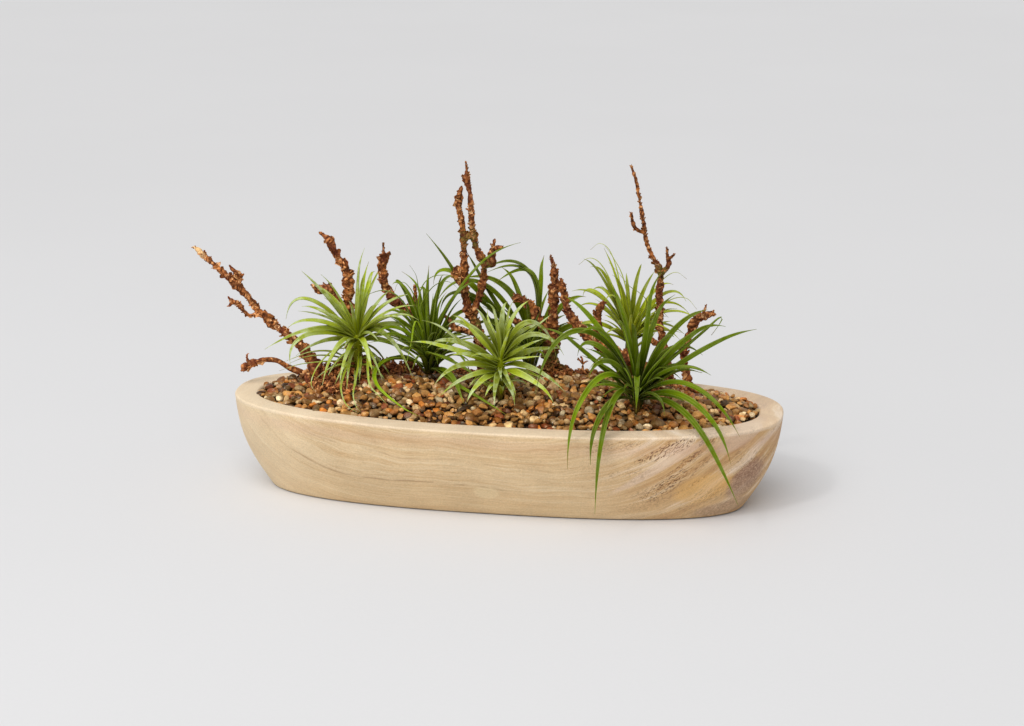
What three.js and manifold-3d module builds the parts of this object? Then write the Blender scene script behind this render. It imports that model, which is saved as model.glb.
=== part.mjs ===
// An air plant garden: a long hand-carved wooden bowl with a foam bed, a mound of pea gravel,
// six air plants and nine rough dry twigs. Millimetres, +Z up, the origin at the centre of the
// bowl's flat foot, +X along the bowl.
import * as THREE from "three";
import { mergeVertices } from "three/addons/utils/BufferGeometryUtils.js";
import Module from "manifold-3d";

const wasm = await Module();
wasm.setup();

// The bowl, measured over all.
const bowlLength = 500;
const bowlWidth = 182;
const bowlHeight = 85;
const footLength = 435;
const footWidth = 127;
const rimThickness = 21;
const rimRise = 2.5; // how far the rim's ends stand above its middle
const wallBulge = 7.5; // how far the wall swells past a straight flare, at half height
const endSkew = 0.06; // the right end is this much wider than the left
const rimPower = 2.4; // a superellipse's power: 2 is an ellipse, more is squarer
const footPower = 2.55;
const floorThickness = 16;
const floorInset = 24; // from the outer wall to the hollow's floor edge
const bowlSides = 40;

// What fills it.
const fitGap = 0.4; // between the fill and the hollow's wall
const foamTop = 62;
const foamGap = 1.8;
const gravelBottom = 62.4;
const gravelEdge = 81; // the gravel's height along the wall
const moundHeight = 19;
const moundBack = 8; // the mound's crest lies this far behind the middle
const heap = { x: 80, y: 35, height: 7, spreadX: 55, spreadY: 40 };
const pebblePitch = 12;
const pebbleHeight = 3;
const footClearing = 11; // the gravel lies smooth this near to a stem

// Stems and twigs stand in plain holes.
const pegFoot = 38;
const holeGap = 0.3;
const pegSides = 6;

// A repeatable draw from 0 to 1 for each whole number.
const draw = (n) => {
  const s = Math.sin(n * 127.1) * 43758.5453;
  return s - Math.floor(s);
};
const lerp = (a, b, k) => a + (b - a) * k;
const shortest = 0.12; // edges shorter than this are merged where parts are fused
const degrees = (d) => (d * Math.PI) / 180;

// Solids from three.js geometry.
function solidOf(geometry) {
  const bare = geometry.index ? geometry.toNonIndexed() : geometry.clone();
  bare.deleteAttribute("normal");
  bare.deleteAttribute("uv");
  const merged = mergeVertices(bare, 1e-4);
  return new wasm.Manifold(
    new wasm.Mesh({
      numProp: 3,
      vertProperties: merged.attributes.position.array,
      triVerts: new Uint32Array(merged.index.array),
    }),
  );
}

// The largest body of a solid: it drops loose scraps and fills sealed hollows.
const wholeOf = (solid) => solid.decompose().sort((a, b) => b.volume() - a.volume())[0];
const fuse = (solids) => wholeOf(wasm.Manifold.union(solids));

// A fused solid's skin, with its shortest edges merged away where no face would fold over.
function geometryOf(solid) {
  const mesh = solid.getMesh();
  const points = [];
  for (let i = 0; i < mesh.numVert; i++) points.push(new THREE.Vector3().fromArray(mesh.vertProperties, 3 * i));
  let faces = [];
  for (let i = 0; i < mesh.numTri; i++) faces.push([...mesh.triVerts.slice(3 * i, 3 * i + 3)]);
  const normalOf = ([a, b, c]) =>
    points[b].clone().sub(points[a]).cross(points[c].clone().sub(points[a]));
  for (let merging = true; merging; ) {
    const near = points.map(() => new Set());
    const fan = points.map(() => []);
    for (const face of faces)
      face.forEach((v, i) => {
        near[v].add(face[(i + 1) % 3]);
        fan[v].push(face);
      });
    const merged = new Map();
    const settled = new Set();
    for (const [p, q] of faces.flatMap(([a, b, c]) => [[a, b], [b, c], [c, a]])) {
      if (settled.has(p) || settled.has(q) || points[p].distanceTo(points[q]) > shortest) continue;
      if ([...near[p]].filter((v) => near[q].has(v)).length !== 2) continue;
      const folds = fan[q].some((face) => {
        if (face.includes(p)) return false;
        const [before, after] = [normalOf(face), normalOf(face.map((v) => (v === q ? p : v)))];
        return before.dot(after) < 0.5 * before.length() * after.length() || after.length() < 0.002;
      });
      if (folds) continue;
      merged.set(q, p);
      for (const v of [p, ...near[p], ...near[q]]) settled.add(v);
    }
    faces = faces
      .map((face) => face.map((v) => merged.get(v) ?? v))
      .filter(([a, b, c]) => a !== b && b !== c && c !== a);
    merging = merged.size > 0;
  }
  return new THREE.BufferGeometry().setFromPoints(points).setIndex(faces.flat());
}

// A closed skin over a row of rings that turn anticlockwise about the way they are stacked.
function skin(rings) {
  const count = rings[0].length;
  const points = rings.flat();
  const faces = [];
  for (let i = 0; i + 1 < rings.length; i++)
    for (let j = 0; j < count; j++) {
      const k = (j + 1) % count;
      const [a, b, c, d] = [i * count + j, i * count + k, (i + 1) * count + k, (i + 1) * count + j];
      faces.push(a, b, c, a, c, d);
    }
  const last = (rings.length - 1) * count;
  for (let j = 1; j + 1 < count; j++) {
    faces.push(0, j + 1, j);
    faces.push(last, last + j, last + j + 1);
  }
  const geometry = new THREE.BufferGeometry().setFromPoints(points);
  geometry.setIndex(faces);
  return geometry;
}

// The bowl's outline at a level: a superellipse, a little wider at the right end.
function oval(halfLength, halfWidth, power, height, sides = bowlSides) {
  const ring = [];
  for (let i = 0; i < sides; i++) {
    const angle = (2 * Math.PI * (i + 0.5)) / sides;
    const [c, s] = [Math.cos(angle), Math.sin(angle)];
    const x = halfLength * Math.sign(c) * Math.abs(c) ** (2 / power);
    const y = halfWidth * Math.sign(s) * Math.abs(s) ** (2 / power) * (1 + (endSkew * x * 2) / bowlLength);
    ring.push(new THREE.Vector3(x, y, height(x)));
  }
  return ring;
}
const rimLift = (x) => rimRise * ((2 * x) / bowlLength) ** 2;
const level = (z) => (x) => z + rimLift(x) * Math.max(0, z / bowlHeight);

// Half length, half width and power of the outer wall at a share of its height.
function wallAt(share) {
  const swell = wallBulge * Math.sin(Math.PI * share);
  return [
    lerp(footLength, bowlLength, share) / 2 + swell,
    lerp(footWidth, bowlWidth, share) / 2 + swell,
    lerp(footPower, rimPower, share),
  ];
}

// The hollow's half length, half width and power at a height.
function hollowAt(z) {
  const share = (z - floorThickness) / (bowlHeight - floorThickness);
  const [floorLength, floorWidth] = wallAt(floorThickness / bowlHeight).map((half) => half - floorInset);
  const bow = wallBulge * Math.sin(Math.PI * Math.min(share, 1) * 0.5) - wallBulge * share;
  return [
    lerp(floorLength, bowlLength / 2 - rimThickness, share) + bow,
    lerp(floorWidth, bowlWidth / 2 - rimThickness, share) + bow,
    rimPower,
  ];
}

function makeBowl() {
  const rings = [];
  const outer = (share, inset = 0) => {
    const [a, b, power] = wallAt(share);
    rings.push(oval(a - inset, b - inset, power, level(share * bowlHeight)));
  };
  outer(0, 2.5);
  outer(0.025);
  for (const share of [0.22, 0.46, 0.7, 0.95]) outer(share);
  outer(0.99, 1.2);
  outer(1, 3.5);
  const inner = (z, inset = 0) => {
    const [a, b, power] = hollowAt(z);
    rings.push(oval(a - inset, b - inset, power, level(z)));
  };
  inner(bowlHeight, -2);
  inner(bowlHeight - 2);
  for (const z of [68, 50, 34, 22]) inner(z);
  inner(floorThickness, 5);
  return skin(rings);
}

// A plug of the hollow between two heights, clear of its wall.
function hollowPlug(bottom, top, gap, sides) {
  const rings = [];
  const levels = [bottom, ...[34, 50, 68, bowlHeight - 2].filter((z) => z > bottom + 1 && z < top - 1), top];
  for (const z of levels) {
    const [a, b, power] = hollowAt(Math.min(z, bowlHeight - 2));
    rings.push(oval(a - gap, b - gap, power, level(z), sides));
  }
  return solidOf(skin(rings));
}

// The gravel's height: a mound that falls off to the wall, with a heap behind on the right.
function gravelTop(x, y) {
  const across = y > moundBack ? bowlWidth / 2 - rimThickness - moundBack : bowlWidth / 2 - rimThickness + moundBack;
  const out =
    Math.abs(x / (bowlLength / 2 - rimThickness)) ** rimPower + Math.abs((y - moundBack) / across) ** rimPower;
  const mound = moundHeight * Math.max(0, 1 - out ** 1.25);
  const heaped = heap.height * Math.exp(-(((x - heap.x) / heap.spreadX) ** 2) - ((y - heap.y) / heap.spreadY) ** 2);
  return gravelEdge + mound + heaped;
}

// Each plant: where its heart is, how many leaves fill it out, and the leaves that give it its shape.
// A leaf is [heading in degrees from +X, reach, rise, lift, pull, curl]: its tip lies reach out and
// rise up from the heart and curl to its left, and it bends towards a point pull x reach out and lift up.
const plants = {
  plant_left: {
    heart: [-140, 18, 132], leafWidth: 6, fill: 6, fillReach: 62, fillLow: -5, color: 0x8fae4a,
    leaves: [
      [30, 4, 86, 45, 0.5], [50, 12, 72, 38, 0.5], [315, 12, 69, 39, 0.5], [172, 52, 62, 38, 0.5],
      [193, 65, 21, 66, 0.85], [150, 40, 43, 32, 0.5], [200, 64, 16, 30, 0.6], [206, 86, -2, 27, 0.4],
      [214, 70, -14, 28, 0.85], [4, 50, 45, 39, 0.45], [345, 62, 28, 34, 0.5], [20, 69, 2, 24, 0.4],
      [334, 64, -33, 26, 0.5], [355, 63, -20, 8, 0.45], [238, 48, -33, 14, 0.55], [262, 48, -29, 6, 0.5],
      [298, 50, -18, 14, 0.5], [168, 62, -20, 4, 0.45], [55, 35, 48, 44, 0.65], [158, 64, 25, 24, 0.45],
    ],
  },
  plant_back_left: {
    heart: [-74, 22, 107], leafWidth: 5.4, fill: 8, fillReach: 60, fillLow: 25, color: 0x4f7d2a,
    leaves: [
      [190, 12, 92, 58, 0.5], [290, 6, 98, 48, 0.4], [206, 33, 81, 92, 0.55], [170, 31, 80, 90, 0.9],
      [20, 22, 86, 72, 0.3], [352, 46, 86, 72, 0.3], [10, 81, 125, 68, 0.15], [212, 42, 52, 54, 0.4],
      [210, 54, 28, 40, 0.4], [170, 48, 37, 36, 0.4], [20, 49, 45, 60, 0.4], [335, 46, 6, 40, 0.4],
      [330, 18, 93, 78, 0.6], [305, 95, -6, 16, 0.5, -8], [248, 60, -6, 30, 0.55, 62], [125, 18, 75, 72, 0.4],
    ],
  },
  plant_behind: {
    heart: [16, 51, 108], leafWidth: 7, fill: 5, fillReach: 60, fillLow: 25, color: 0x456f27,
    leaves: [
      [190, 46, 91, 105, -0.5], [194, 48, 88, 100, -0.6], [175, 38, 70, 102, -0.7], [188, 92, 61, 112, 0.4],
      [190, 57, 104, 74, 0.8], [194, 70, 69, 82, 0.1], [185, 87, 121, 50, 0.75], [10, 8, 92, 80, 2],
      [8, 52, 53, 58, 0.5], [5, 71, 6, 43, 0.65], [186, 89, 47, 98, 0.7], [180, 93, 72, 116, 0.85],
      [206, 49, 14, 32, 0.4], [178, 57, 28, 54, 0.5], [20, 22, 61, 57, 1], [170, 30, 87, 72, 0.25],
    ],
  },
  plant_front: {
    heart: [0, -28, 118], leafWidth: 6.6, fill: 6, fillReach: 58, fillLow: -2, color: 0x9ab860,
    leaves: [
      [193, 39, 60, 45, 0.75], [175, 20, 61, 51, 0.75], [75, 9, 67, 56, 0.42], [35, 28, 67, 55, 0.3],
      [232, 11, 71, 59, 0.7], [20, 56, 11, 82, 0.45], [355, 59, 24, 60, 0.5], [345, 62, -7, 20, 0.45],
      [334, 60, -14, 12, 0.45], [180, 66, 28, 38, 0.6], [195, 79, 38, 28, 0.55], [206, 65, 61, 32, 0.6],
      [212, 64, 0, 24, 0.65], [240, 50, -12, 8, 0.55], [270, 44, -12, 8, 0.5], [296, 46, -11, 6, 0.5],
      [160, 56, 41, 54, 0.55], [40, 50, 40, 46, 0.4], [28, 56, 20, 24, 0.45], [222, 62, -8, 12, 0.5],
    ],
  },
  plant_back_right: {
    heart: [108, 48, 128], leafWidth: 5.6, fill: 6, fillReach: 56, fillLow: 15, color: 0x7ea23c,
    leaves: [
      [190, 25, 92, 62, 0.4], [196, 44, 84, 77, 0.6], [172, 36, 76, 69, 0.55], [238, 26, 72, 60, 0.3],
      [30, 24, 68, 53, 0.35], [28, 42, 58, 57, 0.4], [5, 52, 45, 70, 0.55], [20, 58, 30, 56, 0.35],
      [358, 64, 25, 42, 0.35], [202, 56, 56, 60, 0.45], [176, 47, 46, 66, 0.7], [165, 55, 30, 48, 0.5],
      [75, 26, 74, 62, 0.4], [30, 58, 4, 32, 0.4], [350, 46, -4, 22, 0.4], [182, 58, 8, 36, 0.65],
      [150, 46, 48, 58, 0.4], [45, 44, 20, 50, 0.4], [130, 12, 66, 56, 0.3], [222, 30, 50, 58, 0.3],
    ],
  },
  plant_right: {
    heart: [122, -34, 104], leafWidth: 6.8, fill: 6, fillReach: 58, fillLow: 8, color: 0x5d9426,
    leaves: [
      [190, 80, 73, 40, 0.55], [204, 98, 16, 122, 0.55], [178, 65, 92, 72, 0.5], [208, 54, 66, 82, 0.55],
      [180, 27, 107, 74, 0.3], [12, 12, 114, 72, 0.8], [14, 60, 80, 74, 0.45], [0, 72, 77, 60, 0.5],
      [358, 101, 72, 50, 0.5], [336, 102, -15, 48, 0.5], [329, 103, -36, 38, 0.6], [325, 113, -70, 26, 0.55],
      [250, 92, -76, 50, 0.58], [231, 97, -39, 72, 0.55], [245, 84, -36, 30, 0.8], [275, 34, -1, 48, 0.5],
      [225, 26, 77, 76, 0.55], [262, 26, 76, 70, 0.5], [325, 42, 66, 68, 0.55], [214, 52, 30, 56, 0.5],
      [345, 67, 32, 44, 0.45], [52, 37, 92, 58, 0.3], [165, 60, 36, 66, 0.65], [28, 62, 36, 62, 0.4],
    ],
  },
};

// Each twig: its foot in the gravel, its route as rows of x, y, z and radius, and its side shoots.
const twigs = {
  twig_left: {
    foot: [-178, 25], peg: 4.5, seed: 11,
    path: [[-187, 36, 102, 8], [-197, 38, 115, 6.5], [-211, 39, 127, 4.2], [-219, 40, 133, 4.4], [-226, 41, 138, 6.2],
      [-233, 42, 144, 4], [-240, 43, 149, 3.5], [-251, 45, 163, 3.4], [-264, 47, 174, 4.6], [-281, 48, 189, 3],
      [-291, 50, 197, 3.4], [-303, 52, 206, 1.6]],
    shoots: [
      [[-259, 46, 171, 3], [-258, 49, 180, 4], [-263, 49, 184, 2.2], [-268, 50, 189, 1.3]],
      [[-237, 43, 146, 2.6], [-249, 40, 145, 2.2], [-257, 38, 155, 2.8], [-263, 36, 159, 2], [-266, 34, 164, 1.2]],
      [[-260, 37, 157, 1.8], [-263, 36, 157, 1.6], [-266, 34, 154, 1.1]],
    ],
  },
  twig_left_low: {
    foot: [-184, 8], peg: 3, seed: 23,
    path: [[-187, 15, 97, 4.2], [-197, 18, 99, 4], [-207, 18, 103, 3.2], [-216, 16, 109, 3], [-227, 14, 110, 3],
      [-237, 12, 107, 3.6], [-243, 10, 105, 2.8]],
    shoots: [[[-241, 11, 106, 2], [-243, 11, 110, 1.5], [-243, 12, 116, 1.2]]],
  },
  twig_back_left: {
    foot: [-154, 34], peg: 3.3, seed: 37,
    path: [[-154, 46, 102, 5], [-153, 46, 123, 4.8], [-154, 46, 156, 4.6], [-154, 47, 172, 4.8], [-155, 48, 186, 5.2],
      [-160, 49, 196, 4.8], [-166, 50, 204, 4.4], [-172, 51, 216, 3.6], [-176, 51, 220, 1.8], [-182, 52, 224, 1.2]],
    shoots: [
      [[-154, 46, 147, 3], [-163, 44, 159, 3.6], [-173, 41, 173, 5], [-181, 38, 171, 3], [-186, 36, 178, 1.3]],
    ],
  },
  twig_bent: {
    foot: [-74, 45], peg: 3.5, seed: 41,
    path: [[-75, 51, 105, 5], [-79, 51, 120, 5], [-84, 51, 138, 5.2], [-92, 49, 149, 5.4], [-101, 48, 155, 5.6],
      [-111, 46, 164, 6], [-118, 45, 175, 5], [-121, 43, 189, 4.4], [-119, 42, 203, 5.4], [-119, 41, 209, 2],
      [-119, 40, 219, 1.2]],
    shoots: [[[-92, 49, 149, 2.4], [-91, 48, 163, 2.2], [-92, 49, 178, 1.3]]],
  },
  twig_centre: {
    foot: [-27, 26], peg: 3.8, seed: 53,
    path: [[-27, 26, 106, 5], [-28, 28, 137, 5.4], [-34, 30, 153, 5.2], [-41, 30, 170, 4.6], [-42, 30, 193, 3.8],
      [-42, 30, 213, 3.6], [-43, 30, 231, 3.2], [-45, 30, 247, 2.8], [-47, 30, 262, 4], [-44, 30, 276, 1.8]],
    shoots: [
      [[-34, 30, 153, 4], [-31, 31, 169, 3.2], [-26, 33, 186, 3.2], [-25, 33, 203, 3.6], [-31, 32, 219, 3.8],
        [-35, 31, 236, 3.4], [-36, 32, 252, 3], [-37, 33, 268, 2.1], [-40, 34, 283, 3.4], [-40, 34, 290, 1.7],
        [-41, 34, 298, 1.1]],
      [[-42, 30, 178, 3.2], [-48, 28, 193, 4.2], [-50, 26, 202, 3.4]],
      [[-26, 33, 203, 3], [-19, 35, 205, 4], [-17, 36, 217, 3], [-15, 37, 227, 1.6]],
      [[-18, 36, 216, 2], [-12, 35, 219, 1.9], [-7, 34, 220, 1.5]],
      [[-42, 30, 226, 3.4], [-39, 30, 229, 3.8], [-34, 31, 232, 3.4]],
    ],
  },
  twig_stump: {
    foot: [37, 40], peg: 5, seed: 67,
    path: [[37, 40, 107, 9.5], [36, 42, 122, 9], [37, 42, 138, 7.5], [38, 42, 152, 6], [38, 42, 163, 5],
      [38, 42, 175, 5], [39, 42, 189, 4.2], [38, 41, 201, 3.4], [35, 40, 212, 1.5]],
    shoots: [
      [[35, 42, 128, 5], [29, 42, 144, 5], [22, 42, 155, 4.6], [14, 42, 166, 4.6], [4, 43, 171, 4], [0, 44, 168, 2]],
    ],
  },
  twig_lying: {
    foot: [134, 12], peg: 3.9, seed: 79,
    path: [[134, 13, 103, 5], [129, 14, 112, 5], [120, 16, 121, 5], [102, 18, 129, 5.4], [87, 20, 134, 6],
      [76, 22, 141, 6], [67, 24, 148, 5.6], [59, 26, 155, 5], [53, 28, 164, 4.6], [50, 30, 174, 4.2],
      [48, 31, 184, 3.6], [46, 32, 194, 1.8]],
    shoots: [[[85, 20, 135, 3.4], [81, 21, 150, 4], [81, 23, 166, 4.2], [86, 24, 176, 2.4]]],
  },
  twig_right: {
    foot: [147, 36], peg: 3.3, seed: 83,
    path: [[147, 36, 100, 4.4], [144, 37, 117, 4.4], [141, 38, 128, 4.8], [136, 38, 148, 4], [135, 39, 165, 3.8],
      [134, 40, 182, 3.5], [135, 41, 199, 3.6], [127, 42, 215, 2.6], [121, 43, 229, 2.5], [119, 44, 242, 2.4],
      [115, 44, 263, 1.9], [111, 45, 282, 1.6], [106, 46, 296, 1.2]],
    shoots: [
      [[120, 43, 235, 2.2], [113, 44, 238, 1.8], [109, 44, 243, 1.8], [107, 44, 254, 1.2]],
      [[134, 41, 197, 2.8], [142, 40, 207, 2.3], [141, 39, 216, 2], [140, 38, 225, 1.2]],
      [[141, 39, 213, 1.6], [144, 38, 215, 1.5], [148, 37, 219, 1.3]],
    ],
  },
  twig_far_right: {
    foot: [165, 34], peg: 3.2, seed: 97,
    path: [[163, 39, 98, 4.2], [159, 45, 110, 4.2], [157, 45, 126, 4.2], [162, 44, 142, 4.4], [168, 42, 156, 5],
      [176, 41, 162, 3.8], [184, 40, 165, 2.6]],
    shoots: [[[173, 41, 160, 2], [175, 41, 166, 1.6], [177, 42, 172, 1]]],
  },
};
const branchesOf = (twig) => [twig.path, ...twig.shoots];

// The points that leaves keep clear of: each has a radius and the name of what it belongs to.
const taken = [];
const leafSamples = 32;
const leafClearance = 2;
const barkDepth = 2; // room for the bark's flakes

// The stations of a branch at even shares of its route: place, direction and radius.
const curveOf = (path) =>
  new THREE.CatmullRomCurve3(path.map(([x, y, z]) => new THREE.Vector3(x, y, z)), false, "catmullrom", 0.5);

function stationOf(path, curve, share) {
  const t = curve.getUtoTmapping(share);
  const at = t * (path.length - 1);
  const i = Math.min(Math.floor(at), path.length - 2);
  return { point: curve.getPoint(t), along: curve.getTangent(t), radius: lerp(path[i][3], path[i + 1][3], at - i) };
}

for (const [name, twig] of Object.entries(twigs))
  for (const path of branchesOf(twig)) {
    const curve = curveOf(path);
    const steps = 8 * path.length;
    for (let i = 0; i <= steps; i++) {
      const { point, radius } = stationOf(path, curve, i / steps);
      taken.push({ name, point, radius: radius + barkDepth });
    }
  }

const coreRadius = 6;
for (const [name, { heart }] of Object.entries(plants)) {
  const [x, y, z] = heart;
  for (let h = gravelTop(x, y); h < z + 4; h += 3)
    taken.push({ name, point: new THREE.Vector3(x, y, h), radius: coreRadius });
}

const leafHalfWidth = (width, t) => (width / 2) * (0.45 + 0.55 * Math.min(1, t / 0.22)) * (1 - 0.94 * t * t);

// The quadratic curve of one leaf, from the heart's side to its tip.
function leafCurve(heart, [heading, reach, rise, lift, pull, curl = 0]) {
  const out = new THREE.Vector3(Math.cos(degrees(heading)), Math.sin(degrees(heading)), 0);
  const left = new THREE.Vector3(-out.y, out.x, 0);
  const steep = Math.max(-0.3, lift / Math.hypot(pull * reach, lift));
  const middle = new THREE.Vector3(...heart);
  const root = middle.clone().addScaledVector(out, 2.5 * Math.sqrt(1 - steep * steep));
  root.z += 6 * steep - 4;
  const bend = middle.clone().addScaledVector(out, pull * reach);
  bend.z += lift;
  const tip = middle.clone().addScaledVector(out, reach).addScaledVector(left, curl);
  tip.z += rise;
  return { curve: new THREE.QuadraticBezierCurve3(root, bend, tip), left };
}

// Whether a point of a leaf comes too near the bowl, the gravel or another thing's points.
function blocked(point, radius, name) {
  const wall = Math.max(bowlHeight + rimLift(point.x), gravelTop(point.x, point.y)) + radius + 1.5;
  if (point.z < wall) {
    const [a, b, power] = wallAt(Math.min(Math.max(point.z / bowlHeight, 0), 1));
    const skewed = point.y / (1 + (endSkew * point.x * 2) / bowlLength);
    if (Math.abs(point.x / (a + 3)) ** power + Math.abs(skewed / (b + 3)) ** power < 1) return true;
  }
  return taken.some((t) => t.name !== name && t.point.distanceTo(point) < t.radius + radius + leafClearance);
}

// Small turns of a leaf, tried in this order until it is clear: degrees of heading, and millimetres up.
const bends = [[0, 0], [5, 0], [-5, 0], [0, 6], [9, 3], [-9, 3], [0, 12], [14, 6], [-14, 6], [0, -6], [20, 10], [-20, 10],
  [9, 16], [-9, 16], [28, 6], [-28, 6], [0, 22], [16, 24], [-16, 24], [36, 12], [-36, 12], [46, 18], [-46, 18]];

function placeLeaf(name, heart, width, leaf, roll) {
  for (const shorten of [1, 0.8, 0.62])
    for (const [turn, raise] of bends) {
      const [heading, reach, rise, lift, pull, curl = 0] = leaf;
      const bent = [heading + turn, reach * shorten, rise * shorten + raise, lift * shorten + raise, pull, curl * shorten];
      const { curve, left } = leafCurve(heart, bent);
      const samples = [];
      for (let i = 3; i <= leafSamples; i++) {
        const t = i / leafSamples;
        samples.push({ name, point: curve.getPoint(t), radius: leafHalfWidth(width, t) });
      }
      if (samples.some((s) => blocked(s.point, s.radius, name))) continue;
      taken.push(...samples);
      return { curve, left, width, roll };
    }
  return null;
}

// The leaves that fill a plant out, by the golden angle, from low and flat to steep and short.
function fillLeaves(plant, seed) {
  const rows = [];
  for (let i = 0; i < plant.fill; i++) {
    const share = i / plant.fill;
    const heading = seed * 40 + i * 137.5 + 24 * (draw(seed + i) - 0.5);
    const launch = degrees(lerp(plant.fillLow + 20, 78, share));
    const droop = degrees(lerp(55, 18, share) * (0.7 + 0.6 * draw(seed + i + 50)));
    const length = plant.fillReach * (0.75 + 0.5 * draw(seed + i + 90));
    const [bendOut, bendUp] = [0.55 * length * Math.cos(launch), 0.55 * length * Math.sin(launch)];
    const reach = bendOut + 0.5 * length * Math.cos(launch - droop);
    const rise = bendUp + 0.5 * length * Math.sin(launch - droop);
    rows.push([heading, reach, rise, bendUp, bendOut / reach, 0]);
  }
  return rows;
}

const placed = Object.fromEntries(Object.keys(plants).map((name) => [name, []]));
// A leaf's roll about its own length: most turn their upper face a little to the front.
const rollOf = (plant, i, heading) => degrees(38 * Math.cos(degrees(heading)) + 40 * (draw(plant * 100 + i) - 0.5));
Object.entries(plants).forEach(([name, plant], k) =>
  plant.leaves.forEach((leaf, i) => {
    placed[name].push(placeLeaf(name, plant.heart, plant.leafWidth, leaf, rollOf(k, i, leaf[0])));
  }),
);
Object.entries(plants).forEach(([name, plant], k) =>
  fillLeaves(plant, 7 * k + 1).forEach((leaf, i) => {
    placed[name].push(placeLeaf(name, plant.heart, plant.leafWidth * 0.85, leaf, rollOf(k, i + 50, leaf[0])));
  }),
);

// One blade: a gutter on top and a keel below, rolled a little to one side, narrowing to its tip.
function blade({ curve, left, width, roll }) {
  const rings = [];
  for (const t of curve.getLength() < 80 ? [0, 0.3, 0.64, 1] : [0, 0.24, 0.48, 0.74, 1]) {
    const point = curve.getPoint(t);
    const along = curve.getTangent(t);
    const level = left.clone().addScaledVector(along, -left.dot(along)).normalize();
    const side = level.applyAxisAngle(along, roll * Math.min(1, t / 0.3));
    const up = along.clone().cross(side);
    const half = Math.max(leafHalfWidth(width, t), 0.25);
    const edge = point.clone().addScaledVector(up, 0.45 * half);
    rings.push([
      edge.clone().addScaledVector(side, half),
      edge.clone().addScaledVector(side, -half),
      point.clone().addScaledVector(up, -lerp(0.9, 0.6, t)),
    ]);
  }
  return solidOf(skin(rings));
}

// A turned solid from a profile of [radius, height] pairs, standing at x, y.
function turned(profile, x, y, sides = pegSides) {
  const points = profile.map(([radius, z]) => new THREE.Vector2(radius, z));
  const geometry = new THREE.LatheGeometry(points, sides);
  return solidOf(geometry.rotateX(Math.PI / 2).translate(x, y, 0));
}

const stemRadius = 2.4;
function makePlant(name) {
  const [x, y, z] = plants[name].heart;
  const ground = gravelTop(x, y) + 1.2;
  const swell = Math.min(4, (z - ground) * 0.5);
  const stem = turned([
    [0, pegFoot], [stemRadius, pegFoot], [stemRadius, ground], [coreRadius - 1, ground + swell],
    [coreRadius + 0.8, z + 1], [2.6, z + 6.4], [0, z + 7.3],
  ], x, y);
  return fuse([stem, ...placed[name].filter(Boolean).map(blade)]);
}

// A rough branch: a five- or six-sided tube along its route, uneven in girth.
function branchSolid(path, seed) {
  const curve = curveOf(path);
  const steps = Math.max(2, Math.round(curve.getLength() / 12.5));
  const sides = path[0][3] > 3.8 ? 6 : 5;
  const frames = curve.computeFrenetFrames(steps, false);
  const rings = [];
  for (let i = 0; i <= steps; i++) {
    const { point, radius } = stationOf(path, curve, i / steps);
    const girth = radius * (0.92 + 0.2 * draw(seed + i));
    const ring = [];
    for (let j = 0; j < sides; j++) {
      const angle = (2 * j * Math.PI) / sides + 0.35 * i;
      const rough = girth * (0.9 + 0.2 * draw(seed * 3 + i * 7 + j));
      ring.push(point.clone()
        .addScaledVector(frames.normals[i], rough * Math.cos(angle))
        .addScaledVector(frames.binormals[i], rough * Math.sin(angle)));
    }
    rings.push(ring);
  }
  return solidOf(skin(rings));
}

// Buds and flakes of bark: small lumps half sunk in the branch.
function budSolids(path, seed) {
  const curve = curveOf(path);
  const count = Math.floor(curve.getLength() / 25);
  const buds = [];
  for (let i = 0; i < count; i++) {
    const { point, along, radius } = stationOf(path, curve, (i + 0.3 + 0.5 * draw(seed + i)) / count);
    const around = 2 * Math.PI * draw(seed + i + 31);
    const side = new THREE.Vector3(Math.cos(around), Math.sin(around), 0);
    side.addScaledVector(along, -side.dot(along)).normalize();
    point.addScaledVector(side, radius * 0.8);
    const lump = new THREE.OctahedronGeometry(1.3 + 0.3 * radius);
    lump.rotateX(6 * draw(seed + i + 61)).rotateZ(6 * draw(seed + i + 77)).translate(point.x, point.y, point.z);
    buds.push(solidOf(lump));
  }
  return buds;
}

function makeTwig(name) {
  const twig = twigs[name];
  const [x, y] = twig.foot;
  const start = twig.path[0];
  const ground = gravelTop(x, y) + 1.2;
  const footRing = (height, lean, radius) =>
    Array.from({ length: pegSides }, (_, j) => {
      const angle = (2 * Math.PI * j) / pegSides;
      const [middleX, middleY] = [lerp(x, start[0], lean), lerp(y, start[1], lean)];
      return new THREE.Vector3(middleX + radius * Math.cos(angle), middleY + radius * Math.sin(angle), height);
    });
  const foot = skin([
    footRing(pegFoot, 0, twig.peg),
    footRing(ground, 0, twig.peg),
    footRing(lerp(ground, start[2], 0.5), 0.4, lerp(twig.peg, start[3], 0.7)),
    footRing(start[2] + 1, 1, 0.95 * start[3]),
  ]);
  const branches = branchesOf(twig);
  return fuse([
    solidOf(foot),
    ...branches.map((path, i) => branchSolid(path, twig.seed + i * 5)),
    ...branches.flatMap((path, i) => budSolids(path, twig.seed + i * 9)),
  ]);
}

// Every stem's and twig's foot, with the radius of its peg.
const feet = [
  ...Object.values(plants).map(({ heart }) => ({ x: heart[0], y: heart[1], radius: stemRadius })),
  ...Object.values(twigs).map((twig) => ({ x: twig.foot[0], y: twig.foot[1], radius: twig.peg })),
];
const holes = () =>
  feet.map(({ x, y, radius }) => {
    const wide = (radius + holeGap) / Math.cos(Math.PI / pegSides);
    return turned([[0, pegFoot - 1], [wide, pegFoot - 1], [wide, 150], [0, 150]], x, y);
  });

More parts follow.
